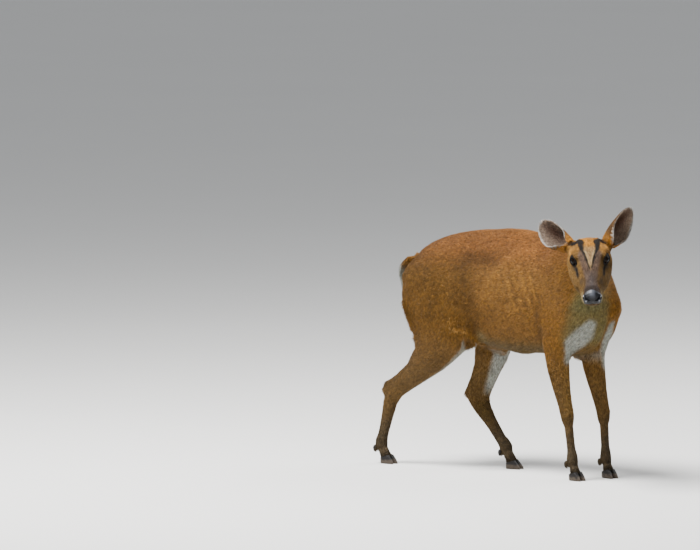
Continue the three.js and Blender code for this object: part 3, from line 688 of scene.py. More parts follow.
@dataclass
class Markings:
    """The colours of her coat over the whole body, for skin and hair alike, with painted shade and
    highlights on the trunk, a painted reflection on the nose and painted light in the left ear.
    """

    pose: HeadPose
    ears: dict[Side, Ear]
    eyes: dict[Side, "Eye"]
    chestnut: Colour = (0.310, 0.138, 0.043)
    golden: Colour = (0.300, 0.155, 0.041)
    haunch: Colour = (0.220, 0.116, 0.030)
    belly: Colour = (0.165, 0.108, 0.036)
    shoulder: Colour = (0.285, 0.144, 0.034)
    leg: Colour = (0.185, 0.112, 0.041)
    cannon: Colour = (0.125, 0.090, 0.050)
    white: Colour = (0.400, 0.405, 0.360)
    throat: Colour = (0.215, 0.190, 0.085)
    breast: Colour = (0.250, 0.150, 0.048)
    forehead: Colour = (0.480, 0.220, 0.038)
    tan: Colour = (0.380, 0.230, 0.100)
    blaze: Colour = (0.330, 0.222, 0.112)
    blaze_edge: Colour = (0.520, 0.390, 0.220)
    mauve: Colour = (0.135, 0.088, 0.060)
    bridge: Colour = (0.115, 0.094, 0.088)
    fringe: Colour = (0.050, 0.034, 0.027)
    cheek: Colour = (0.190, 0.108, 0.033)
    brow: Colour = (0.360, 0.185, 0.048)
    smudge: Colour = (0.060, 0.042, 0.024)
    lip: Colour = (0.330, 0.260, 0.130)
    jaw: Colour = (0.210, 0.165, 0.080)
    black: Colour = (0.010, 0.008, 0.008)
    nose: Colour = (0.009, 0.009, 0.011)
    # Painted reflection of the sky on the top of the nose.
    sheen: Colour = (0.075, 0.080, 0.095)
    # Nostril wings: partly their own pale skin, partly a painted highlight on the wet rims.
    wing: Colour = (0.380, 0.390, 0.420)
    ear_back: Colour = (0.190, 0.105, 0.045)
    ear_deep: Colour = (0.075, 0.036, 0.021)
    ear_pale: Colour = (0.310, 0.240, 0.185)
    ear_edge: Colour = (0.560, 0.550, 0.520)
    # Factors on each ear's lining colour; the left lining is lightened as painted light, as if shining
    # through the ear.
    right_lining: float = 1.0
    left_lining_painted_light: float = 1.75
    stripe_along: Row = (16.0, 33.0, 48.0, 64.0, 74.0, 83.0, 99.0, 116.0)
    stripe_aside: Row = (23.0, 16.8, 17.6, 17.0, 13.6, 10.6, 6.4, 1.9)
    stripe_half: Row = (7.5, 8.2, 6.2, 4.2, 3.3, 2.6, 1.9, 1.2)
    top_band: Line = ((30.0, 18.0), (9.0, 43.0))
    mauve_along: Row = (58.0, 80.0, 92.0, 116.0, 144.0, 165.0)
    mauve_aside: Row = (22.0, 26.0, 22.5, 17.0, 12.0, 15.0)
    gland: Line = ((94.0, -26.0, 31.5), (117.0, -27.5, 28.0))
    smear: Line = ((86.0, -29.0, 36.0), (97.0, -26.5, 31.0), (117.0, -27.5, 28.0))
    wing_line: Line = ((179.0, -30.0, 19.6), (184.0, -35.2, 19.0), (191.0, -37.5, 14.0))
    near_patch: Line = ((211, -62, 268), (219, -58, 286), (238, -62, 305), (262, -56, 330), (280, -54, 350))
    near_halves: Row = (7.0, 13.0, 22.0, 21.0, 12.0)
    far_patch: Line = ((238, 42, 252), (246, 35, 288), (265, 22, 326), (276, 19, 346))
    far_halves: Row = (9.0, 12.0, 12.0, 8.0)

    def colour(self, points: Array, normals: Array, shares: Array) -> Array:
        """Colour points of the body.

        Args:
            points: Places in the row frame.
            normals: Directions there.
            shares: How much each point belongs to each region, one column a region.

        Returns:
            One colour for each point.
        """
        drawn = self.pose.drawn(points)
        parts = {
            Region.TRUNK: self._trunk(drawn, normals),
            Region.NECK: self._neck(drawn, normals),
            Region.THIGH: self._thigh(drawn, normals),
            Region.SHANK: self._shank(drawn, normals),
            Region.FACE: self._face(points, normals),
            Region.NOSE: self._nose(points),
            Region.EAR: self._ear(points, normals),
            Region.TAIL: self._tail(drawn, normals),
        }
        total = np.zeros((len(points), 3))
        for region, colours in parts.items():
            total += shares[:, [region.number]] * colours
        return total / np.maximum(shares.sum(axis=1, keepdims=True), 1e-6)

    @staticmethod
    def _over(ground: Array | Colour, *layers: tuple[Colour, Array]) -> Array:
        """Lay colours over a ground, one after the other.

        Args:
            ground: One colour for all points, or one row for each.
            layers: Pairs of a colour and its weight at each point.

        Returns:
            One colour for each point.
        """
        colours = np.array(ground)
        for colour, weight in layers:
            colours = colours + (np.array(colour) - colours) * np.clip(weight, 0.0, 1.0)[:, None]
        return colours

    def _base(self, drawn: Array) -> Array:
        """Chestnut back, golden flanks, dark haunches and warm shoulders, with painted shade and painted
        highlight over ribs, loin, flank hollow and shoulder.

        Args:
            drawn: Places as drawn, in millimetres.

        Returns:
            Their colours.
        """
        x, z = drawn[:, 0], drawn[:, 2]
        colours = self._over(
            self.golden,
            (self.haunch, ramp(x, -20, -120)),
            (self.shoulder, ramp(x, 90, 175)),
            (self.chestnut, ramp(z, 435, 515) * 0.95),
        )
        # Painted shade in the flank hollow before the thigh.
        hollow = bump(x + 0.12 * (z - 380), -62, 26) * ramp(z, 300, 340) * ramp(z, 500, 450)
        # Painted highlight along the edge of the last rib.
        edge, _, _ = to_line(drawn[:, [0, 2]], Relief.last_rib)
        # Painted highlight on the ribs, and painted shade in their grooves and in the loin hollow.
        shade = 1 + 0.26 * Relief.ribs(x, z) - 0.42 * Relief.loin(x, z) - 0.30 * hollow
        shade = shade + 0.22 * bump(edge, 0, 13)
        # Painted shade in the groove behind the shoulder.
        behind = bump(x - 0.10 * (z - 340), 143, 10) * ramp(z, 280, 305) * ramp(z, 430, 370)
        return colours * (shade - 0.32 * behind)[:, None]

    def _trunk(self, drawn: Array, normals: Array) -> Array:
        """The body's ground colour with a brown belly, pale groin and white breast patches.

        Args:
            drawn: Places as drawn, in millimetres.
            normals: Directions there.

        Returns:
            Their colours.
        """
        x, z = drawn[:, 0], drawn[:, 2]
        below = ramp(-normals[:, 2], 0.35, 0.85) * ramp(z, 330, 290)
        colours = self._over(
            self._base(drawn),
            (self.belly, below),
            (self.white, below * ramp(x, -70, -120) * 0.9),
            (self.lip, bump(np.hypot(x + 42, z - 306), 0, 11) * 0.9),
        )
        return self._breast(colours, drawn, normals)

    def _breast(self, colours: Array, drawn: Array, normals: Array) -> Array:
        """Two white patches above the forelegs, with an olive and tawny strip between them.

        Args:
            colours: The colours so far.
            drawn: Places as drawn, in millimetres.
            normals: Directions there.

        Returns:
            The colours with breast and patches.
        """
        x, z = drawn[:, 0], drawn[:, 2]
        beside = BodyLines.beside(drawn) + 0.10 * (x - 220)
        front = ramp(normals[:, 0], -0.05, 0.3) * ramp(x, 200, 225)
        middle = front * ramp(np.abs(beside + 18), 62, 34)
        patches = np.zeros(len(drawn))
        for line, halves in ((self.near_patch, self.near_halves), (self.far_patch, self.far_halves)):
            far, place, _ = to_line(drawn, line)
            half = np.interp(place, np.arange(len(halves)), halves)
            patches = np.maximum(patches, ramp(far, half + 7, half - 5))
        return self._over(
            colours,
            (self.breast, middle * ramp(z, 400, 340) * 0.8),
            (self.throat, middle * ramp(z, 290, 322) * ramp(z, 410, 390) * 0.75),
            (self.white, patches * ramp(normals[:, 0], -0.1, 0.25)),
        )

    def _neck(self, drawn: Array, normals: Array) -> Array:
        """Orange-brown nape and a pale olive throat.

        Args:
            drawn: Places as drawn, in millimetres.
            normals: Directions there.

        Returns:
            Their colours.
        """
        throat = ramp(normals @ unit(np.array([0.75, -0.45, -0.5])), 0.45, 0.9)
        colours = self._over(
            self.shoulder,
            (self.chestnut, ramp(normals[:, 2], 0.2, 0.8) * 0.6),
            (self.throat, throat * ramp(normals[:, 2], 0.35, -0.1)),
        )
        return self._breast(colours, drawn, normals)

    @staticmethod
    def _leg_side(drawn: Array, normals: Array) -> tuple[Array, Array, Array]:
        """Say how far places on a leg face the other leg and ahead, and give 1 for a hind leg."""
        side = np.sign(BodyLines.beside(drawn) + 1e-6)
        return -normals[:, 1] * side, normals[:, 0], (drawn[:, 0] < 60).astype(float)

    def _thigh(self, drawn: Array, normals: Array) -> Array:
        """Thighs and upper forelegs in the trunk's colours, browner below, with white inside.

        Args:
            drawn: Places as drawn, in millimetres.
            normals: Directions there.

        Returns:
            Their colours.
        """
        inward, ahead, hind = self._leg_side(drawn, normals)
        z = drawn[:, 2]
        inner = ramp(inward + 0.9 * ahead - 0.35 * normals[:, 2], 0.45, 0.95) * ramp(inward, -0.35, 0.1)
        far = (BodyLines.beside(drawn) > 0) * ramp(z, 300, 270)
        before = 0.932 * (drawn[:, 0] + 64) - 0.362 * (z - 345)
        inner = inner * (1 - far * ramp(before, 25, 14))
        colours = self._over(
            self._base(drawn),
            (self.leg, ramp(z, 330, 190) * 0.9),
            (self.white, inner * hind * ramp(z, 158, 186) * 0.95),
            (self.white, (1 - hind) * ramp(inward, 0.0, 0.6) * ramp(z, 252, 288) * 0.8),
        )
        return self._breast(colours, drawn, normals)

    def _shank(self, drawn: Array, normals: Array) -> Array:
        """Grey-brown cannons, darker in front and at the feet.

        Args:
            drawn: Places as drawn, in millimetres.
            normals: Directions there.

        Returns:
            Their colours.
        """
        inward, ahead, hind = self._leg_side(drawn, normals)
        z = drawn[:, 2]
        colours = self._over(self.leg, (self.cannon, ramp(z, 150, 60)))
        colours = colours * (1 - 0.28 * ramp(ahead, 0.2, 0.9))[:, None]
        pale = ramp(inward, 0.4, 0.9) * hind * ramp(z, 60, 140) * 0.5
        return self._over(colours, (self.belly, pale)) * (1 - 0.45 * ramp(z, 34, 16))[:, None]

    def _face(self, points: Array, normals: Array) -> Array:
        """The striped face: black stripes from the ears to a point, with a tan blaze between them.

        Args:
            points: Places in the row frame.
            normals: Directions there.

        Returns:
            Their colours.
        """
        head = self.pose.read(points)
        along, above, aside = head[:, 0], head[:, 1], np.abs(head[:, 2])
        local = np.stack([along, above, aside], 1)
        over = ramp(normals @ self.pose.axes[1], 0.05, 0.4)
        stripe = np.interp(along, self.stripe_along, self.stripe_aside)
        half = np.interp(along, self.stripe_along, self.stripe_half)
        outer = np.interp(along, self.mauve_along, self.mauve_aside)
        mauve = over * ramp(aside, outer + 3, outer - 3) * ramp(along, 50, 80)
        between = over * ramp(aside, stripe + 1, stripe - 1) * ramp(along, 122, 114)
        blaze = between * ramp(along, 62, 72)
        blaze_edge = blaze * bump(stripe - half - aside, 1.3, 1.6) * ramp(along, 112, 90)
        bridge = mauve * ramp(along, 112, 150)
        line = over * ramp(np.abs(aside - stripe) - half, 0.9, -0.9) * ramp(along, 118, 114)
        band, _, _ = to_line(np.stack([along, aside], 1), self.top_band)
        top = ramp(band, 9.0, 6.5) * ramp(above, -34, -26)
        gland, _, _ = to_line(local, self.gland)
        smear, _, _ = to_line(local, self.smear)
        mouth = bump(above, Muzzle.mouth_level(along), 1.6) * ramp(along, 134, 142)
        return self._over(
            self.cheek,
            (self.jaw, ramp(above, -50, -68)),
            (self.throat, ramp(above, -62, -84) * ramp(along, 90, 40)),
            (self.shoulder, ramp(along, 34, 10) * ramp(above, -30, -50) * 0.8),
            (self.brow, ramp(above, -40, -20) * ramp(along, 82, 56)),
            (self.mauve, mauve),
            (self.forehead, between * ramp(along, 66, 40)),
            (self.tan, between * ramp(along, 44, 60)),
            (self.blaze, blaze),
            (self.blaze_edge, blaze_edge),
            (self.bridge, bridge * (0.35 + 0.5 * bump(aside, 0, 5))),
            (self.smudge, bump(np.hypot(along - 139, (above + 27) * 1.3), 0, 11) * 0.65),
            (self.lip, ramp(along, 150, 166) * ramp(aside, 14, 19) * ramp(above, -30, -40)),
            (self.fringe, ramp(along, 156, 166) * ramp(above, -34, -26) * 0.9),
            (self.black, np.maximum(line * ramp(along, 18, 28), top) * 0.97),
            (self.smudge, ramp(smear, 7.5, 3.0) * 0.75),
            (self.black, ramp(gland, 4.0, 2.0)),
            *[(self.black, eye.surround(points)) for eye in self.eyes.values()],
            (self.black, mouth * 0.8),
        )

    def _nose(self, points: Array) -> Array:
        """Black moist skin with a painted reflection lightening its top, and pale wings beside the nostrils
        that are partly pale skin and partly a painted highlight.

        Args:
            points: Places in the row frame.

        Returns:
            Their colours.
        """
        head = self.pose.read(points)
        local = np.stack([head[:, 0], head[:, 1], np.abs(head[:, 2])], axis=1)
        # Painted reflection: the top of the nose is lightened towards grey as if it reflected the sky.
        top = ramp(local[:, 1], -34, -24) * ramp(local[:, 2], 9, 3)
        # The pale wings are partly pale skin and partly a painted highlight.
        wing, _, _ = to_line(local, self.wing_line)
        return self._over(self.nose, (self.sheen, top * 0.8), (self.wing, ramp(wing, 2.3, 0.9) * 0.85))

    def _ear(self, points: Array, normals: Array) -> Array:
        """Brown outside, bare reddish-grey inside, and a fine white edge; the left ear's inside is lightened
        as painted light coming through the ear.

        Args:
            points: Places in the row frame.
            normals: Directions there.

        Returns:
            Their colours.
        """
        colours = np.tile(self.ear_back, (len(points), 1))
        for ear in self.ears.values():
            local = ear.read(points)
            share = ear.share(local)
            sweep, away = ear.sweep(local)
            inner = ear.inner(normals, away)
            deep = bump(sweep, 0.1, 0.55) * bump(share, 0.6, 0.5)
            lining = self._over(self.ear_pale, (self.ear_deep, deep))
            # Painted light: the left ear's lining is lightened as if light came through it.
            lining = lining * (self.left_lining_painted_light if ear.side is Side.LEFT else self.right_lining)
            outside = self._over(self.ear_back, (self.forehead, ramp(share, 0.32, 0.02) * 0.8))
            tone = outside + (lining - outside) * inner[:, None]
            edge = np.maximum(ramp(np.abs(sweep), 0.86, 0.94), ramp(share, 0.945, 0.98))
            edge = edge * np.maximum(ramp(inner, 0.1, 0.5), ramp(np.abs(sweep), 0.97, 1.0))
            tone = self._over(
                tone,
                (self.ear_edge, edge * ramp(share, 0.02, 0.2) * 0.85),
                (self.ear_edge, inner * ramp(share, 0.22, 0.05) * 0.4),
            )
            near = ear.near(local)
            colours[near] = tone[near]
        return colours

    def _tail(self, drawn: Array, normals: Array) -> Array:
        """The croup's brown outside, white underneath and along both edges.

        Args:
            drawn: Places as drawn, in millimetres.
            normals: The tail's directions there.

        Returns:
            Their colours.
        """
        under = ramp(normals[:, 0], 0.15, 0.55) * ramp(drawn[:, 2], 452, 432)
        edges = ramp(np.abs(drawn[:, 1] + 30), 11, 17) * ramp(drawn[:, 2], 456, 442)
        return self._over(self._base(drawn), (self.white, np.maximum(under, edges)))


@dataclass
class Eye:
    """One eye: the globe with its bulging cornea, and the lids round it. Sizes in millimetres."""

    side: Side
    pose: HeadPose
    radius: float = 12.4
    cornea: float = 1.3
    cornea_half_angle: float = math.radians(38)
    iris_half_angle: float = math.radians(36)
    pupil_half_width: float = 5.0
    pupil_half_height: float = 3.4
    half_width: float = 10.4
    upper: float = 7.6
    lower: float = 6.8
    taper: float = 0.14
    lid: float = 1.5
    rim: float = 0.9
    spread: float = 11.0
    slant: Place = (0.85, -0.5, 0.0)
    gaze: Place = (0.7, 0.16, 0.7)

    def __post_init__(self) -> None:
        """Place the eye at its packed ball, looking out and ahead."""
        pose = self.pose
        self.name = f"eye_{self.side.name.lower()}"
        self.centre = np.mean([list(corner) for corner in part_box(self.name)], axis=0)
        gaze = unit(np.array([*self.gaze[:2], self.side.value * self.gaze[2]]) @ pose.axes)
        slant = np.array(self.slant) @ pose.axes
        across = unit(slant - gaze * (slant @ gaze))
        up = np.cross(gaze, across)
        up = up * np.sign(up @ pose.axes[1])
        self.axes = np.array([across, up, gaze])

    def read(self, points: Array) -> Array:
        """Points in the eye's frame, in millimetres: towards the nose, up, and out."""
        return (points - self.centre) @ self.axes.T / MM

    def rim_distance(self, local: Array) -> Array:
        """Measure how far points lie outside the opening of the lids, seen from ahead.

        Args:
            local: Points in the eye's frame.

        Returns:
            Millimetres, below 0 inside the opening.
        """
        across = local[:, 0] / self.half_width
        height = np.where(local[:, 1] > 0, self.upper, self.lower)
        height = height * (1 - self.taper * np.minimum(across ** 2, 1))
        return (np.hypot(across, local[:, 1] / height) - 1) * 0.5 * (self.upper + self.lower)

    def surround(self, points: Array) -> Array:
        """How far points lie in the dark rim of the lids, from 0 to 1."""
        local = self.read(points)
        return ramp(self.rim_distance(local), 3.2, 1.7) * ramp(local[:, 2], 0, 5)

    def lids(self, points: Array) -> Array:
        """Form the lids round the globe.

        Args:
            points: The skin's vertices.

        Returns:
            The vertices with those round the eye moved.
        """
        local = self.read(points)
        close = np.nonzero((norm(local, axis=1) < 34) & (local[:, 2] > -3))[0]
        near = local[close]
        reach = norm(near, axis=1)
        outside = self.rim_distance(near)
        lid = self.radius + self.lid + 0.5 * bump(outside, 1.4, 1.2) - 0.6 * bump(outside, 4.6, 1.1)
        sunk = self.radius - 2.0
        target = sunk + (lid - sunk) * ramp(outside, -self.rim, 0.25)
        hold = ramp(outside, self.spread, 2.5) * ramp(near[:, 2], -2.0, 4.0)
        wanted = reach + (target - reach) * hold
        moved = points.copy()
        moved[close] = self.centre + (near / reach[:, None] * wanted[:, None]) @ self.axes * MM
        return moved

    def build(self, material: Material) -> Piece:
        """Model the globe, bulge its cornea and mark iris and pupil.

        Args:
            material: The eye's finish.

        Returns:
            The finished globe.
        """
        bpy.ops.mesh.primitive_uv_sphere_add(segments=64, ring_count=48, radius=self.radius * MM,
                                             location=tuple(self.centre))
        globe = bpy.context.active_object
        globe.name = f"globe_{self.side.name.lower()}"
        bpy.ops.object.transform_apply(location=True)
        local = self.read(read_positions(globe.data))
        angle = np.arccos(np.clip(local[:, 2] / self.radius, -1, 1))
        bulge = np.clip(1 - (angle / self.cornea_half_angle) ** 2, 0, 1) ** 2 * self.cornea
        local = local * (1 + bulge / self.radius)[:, None]
        write_positions(globe.data, self.centre + local @ self.axes * MM)
        store(globe.data, "rim", angle / self.iris_half_angle)
        pupil = np.hypot(local[:, 0] / self.pupil_half_width, local[:, 1] / self.pupil_half_height)
        store(globe.data, "pupil", np.clip(1.5 - pupil, 0, 1))
        dress(globe, material)
        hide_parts(self.name)
        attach(globe, BODY)
        return globe

    def lash_line(self, count: int) -> tuple[Array, Array, Array]:
        """Line up the lashes along the upper lid.

        Args:
            count: How many there are.

        Returns:
            Their roots, directions and lengths in millimetres.
        """
        across = np.linspace(-0.97, 0.25, count)
        height = self.upper * (1 - self.taper * across ** 2) * np.sqrt(1 - across ** 2)
        flat = np.stack([across * self.half_width, height + 1.2, np.zeros(count)], axis=1)
        flat[:, 2] = np.sqrt(np.maximum((self.radius + self.lid) ** 2 - (flat ** 2).sum(axis=1), 1.0))
        way = np.stack([-0.55 + across * 0.5, np.full(count, 0.75), np.full(count, 0.55)], axis=1)
        lengths = 8.5 * ramp(across, 0.5, -0.5) + 2.0
        return self.centre + flat @ self.axes * MM, unit(way) @ self.axes, lengths


@dataclass
class Muzzle:
    """Nostrils, lips, glands and the relief of the face, in the head's axes and millimetres."""

    pose: HeadPose
    mouth_corner: float = 140.0
    nostril: Line = ((191.5, -35.0, 8.0), (190.5, -34.0, 11.5), (187.0, -31.5, 15.3), (181.0, -28.5, 17.0))
    nostril_halves: Row = (1.9, 2.7, 2.1, 0.8)
    nostril_depths: Row = (3.5, 6.0, 4.5, 1.2)

    @staticmethod
    def mouth_level(along: Array) -> Array:
        """The height of the mouth line at places along the muzzle."""
        return -52.4 + (along - 170.0) * math.tan(math.radians(6))

    def carve(self, points: Array) -> Array:
        """Carve the face.

        Args:
            points: The skin's vertices.

        Returns:
            How far each vertex moves outwards, in millimetres.
        """
        head = self.pose.read(points)
        along, above, aside = head[:, 0], head[:, 1], np.abs(head[:, 2])
        local = np.stack([along, above, aside], axis=1)
        close = ramp(along, -20, -5)
        move = np.zeros(len(points))
        near, place, _ = to_line(local, self.nostril)
        steps = np.arange(len(self.nostril))
        half = np.interp(place, steps, self.nostril_halves)
        depth = np.interp(place, steps, self.nostril_depths)
        move -= depth * ramp(near, half + 0.8, half - 0.9)
        wing, _, _ = to_line(local, Markings.wing_line)
        move += 1.1 * bump(wing, 0.0, 1.7)
        level = above - self.mouth_level(along)
        lips = ramp(along, self.mouth_corner - 3, self.mouth_corner + 4)
        parting = 1.9 * bump(level, 0.0, 0.85) - 0.55 * bump(level, 2.6, 1.6) - 0.3 * bump(level, -2.4, 1.4)
        move -= lips * parting
        move -= 0.9 * bump(aside, 0.0, 0.8) * ramp(along, 176, 182) * ramp(above, -38, -44)
        gland, _, _ = to_line(local, Markings.gland)
        move -= 2.2 * bump(gland, 0.0, 1.3)
        move += 0.7 * bump(gland, 3.2, 1.3)
        stripe = np.interp(along, Markings.stripe_along, Markings.stripe_aside)
        ridge = ramp(above, -30, -20) * ramp(along, 20, 40) * ramp(along, 116, 96)
        move += ridge * (0.9 * bump(aside - stripe, 0.0, 4.0) - 0.8 * bump(aside - stripe, 0.0, 0.9))
        return move * close


@dataclass
class Relief:
    """Ribs, the hollow of the loin and the edges of the big muscles, under the coat, in millimetres."""

    pose: HeadPose
    rib_spacing: float = 22.0
    rib_slant: float = 0.42
    rib_height: float = 0.6
    last_rib: Line = ((-18.0, 385.0), (13.0, 444.0), (35.0, 473.0), (75.0, 496.0), (111.0, 506.0))
    last_rib_height: float = 2.0
    loin_depth: float = 6.0

    @classmethod
    def ribs(cls, x: Array, z: Array) -> Array:
        """The ripple of the ribs on the side, from -1 in a groove to 1 on a rib."""
        phase = (x + cls.rib_slant * (z - 400)) * 2 * math.pi / cls.rib_spacing
        return np.sin(phase) * ramp(x, 5, 50) * ramp(x, 165, 125) * ramp(z, 325, 390) * ramp(z, 492, 455)

    @staticmethod
    def loin(x: Array, z: Array) -> Array:
        """The hollow below the loin, 1 where it is deepest."""
        return bump(x, -22, 62) * bump(z + 0.05 * x, 474, 17)

    def carve(self, points: Array) -> Array:
        """Carve the trunk and legs.

        Args:
            points: The skin's vertices.

        Returns:
            How far each vertex moves outwards, in millimetres.
        """
        drawn = self.pose.drawn(points)
        x, z = drawn[:, 0], drawn[:, 2]
        beside = np.abs(BodyLines.beside(drawn))
        wall = ramp(beside, 38, 62)
        move = self.rib_height * self.ribs(x, z) * wall
        edge, _, _ = to_line(drawn[:, [0, 2]], self.last_rib)
        move += self.last_rib_height * bump(edge, 0, 13) * wall
        move -= self.loin_depth * self.loin(x, z) * ramp(beside, 30, 60)
        groove = bump(x - 0.15 * (z - 410), -54, 14) * ramp(z, 345, 380) * ramp(z, 462, 440)
        move -= 2.0 * groove * wall
        fold = bump(np.hypot(x + 44, (z - 306) * 0.8), 0, 16)
        move += 3.0 * fold * ramp(beside, 30, 48)
        shoulder = bump(x - 0.10 * (z - 340), 141, 13) * ramp(z, 280, 305) * ramp(z, 425, 385)
        move -= 1.9 * shoulder * wall
        triceps = bump(np.hypot(x - 165, (z - 350) * 0.7), 0, 20)
        move += 1.6 * triceps * wall
        hip = bump(np.hypot(x + 118, (z - 500) * 0.8), 0, 22)
        return move + 2.6 * hip * ramp(beside, 22, 40)


class SurfaceNet:
    """The net of a mesh's edges, for spreading values over its surface."""

    def __init__(self, mesh: Mesh) -> None:
        """Sort the ends of all edges by vertex.

        Args:
            mesh: The mesh, with no loose vertices.
        """
        ends = np.empty(len(mesh.edges) * 2, np.int32)
        mesh.edges.foreach_get("vertices", ends)
        ends = ends.reshape(-1, 2)
        start = np.concatenate([ends[:, 0], ends[:, 1]])
        order = np.argsort(start, kind="stable")
        self.neighbours = np.concatenate([ends[:, 1], ends[:, 0]])[order]
        self.degree = np.bincount(start, minlength=len(mesh.vertices)).astype(float)
        self.first = np.concatenate([[0], np.cumsum(self.degree)[:-1]]).astype(int)

    def spread(self, values: Array, rounds: int) -> Array:
        """Average values with their neighbours.

        Args:
            values: One row, or one number, for each vertex.
            rounds: How often.

        Returns:
            The averaged values.
        """
        degree = self.degree if values.ndim == 1 else self.degree[:, None]
        for _ in range(rounds):
            around = np.add.reduceat(values[self.neighbours], self.first, axis=0)
            values = 0.5 * values + 0.5 * around / degree
        return values

    def hollows(self, positions: Array, normals: Array) -> Array:
        """Measure how sharply the surface bends in at each vertex.

        Args:
            positions: The vertices.
            normals: The surface's directions there.

        Returns:
            One part in a millimetre, 0 where the surface is flat or bends out.
        """
        spans = positions[self.neighbours] - np.repeat(positions, self.degree.astype(int), axis=0)
        mean = np.add.reduceat(spans, self.first, axis=0)
        squares = np.add.reduceat((spans ** 2).sum(axis=1), self.first)
        bend = 3.0 * (mean * normals).sum(axis=1) / np.maximum(squares, 1e-12) * MM
        return np.clip(self.spread(bend, 16), 0.0, 0.08)

    def ease(self, positions: Array, strength: Array, rounds: int) -> Array:
        """Round off facets without shrinking the form.

        Args:
            positions: The vertices.
            strength: From 0 to 1 for each vertex.
            rounds: How many times a step in and a step out are made.

        Returns:
            The eased vertices.
        """
        weight = strength[:, None]
        for _ in range(rounds):
            for step in (0.55, -0.575):
                mean = np.add.reduceat(positions[self.neighbours], self.first, axis=0) / self.degree[:, None]
                positions = positions + (mean - positions) * step * weight
        return positions


class SolidMap:
    """Finds which solid node a point of the skin belongs to."""

    def __init__(self) -> None:
        """Gather the flesh nodes' triangles in one search tree."""
        points: list[Array] = []
        corners: list[Array] = []
        owner: list[Array] = []
        count = 0
        for name in FLESH:
            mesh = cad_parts[name].data
            points.append(read_positions(mesh))
            corners.append(read_corners(mesh) + count)
            owner.append(np.full(len(corners[-1]), Region.of(name).number))
            count += len(points[-1])
        self.owner = np.concatenate(owner)
        self.tree = BVHTree.FromPolygons(np.concatenate(points).tolist(), np.concatenate(corners).tolist())

    def regions(self, points: Array) -> Array:
        """The number of the region nearest to each point."""
        found = [self.tree.find_nearest(Vector(p))[2] for p in points.tolist()]
        return self.owner[np.array(found)]


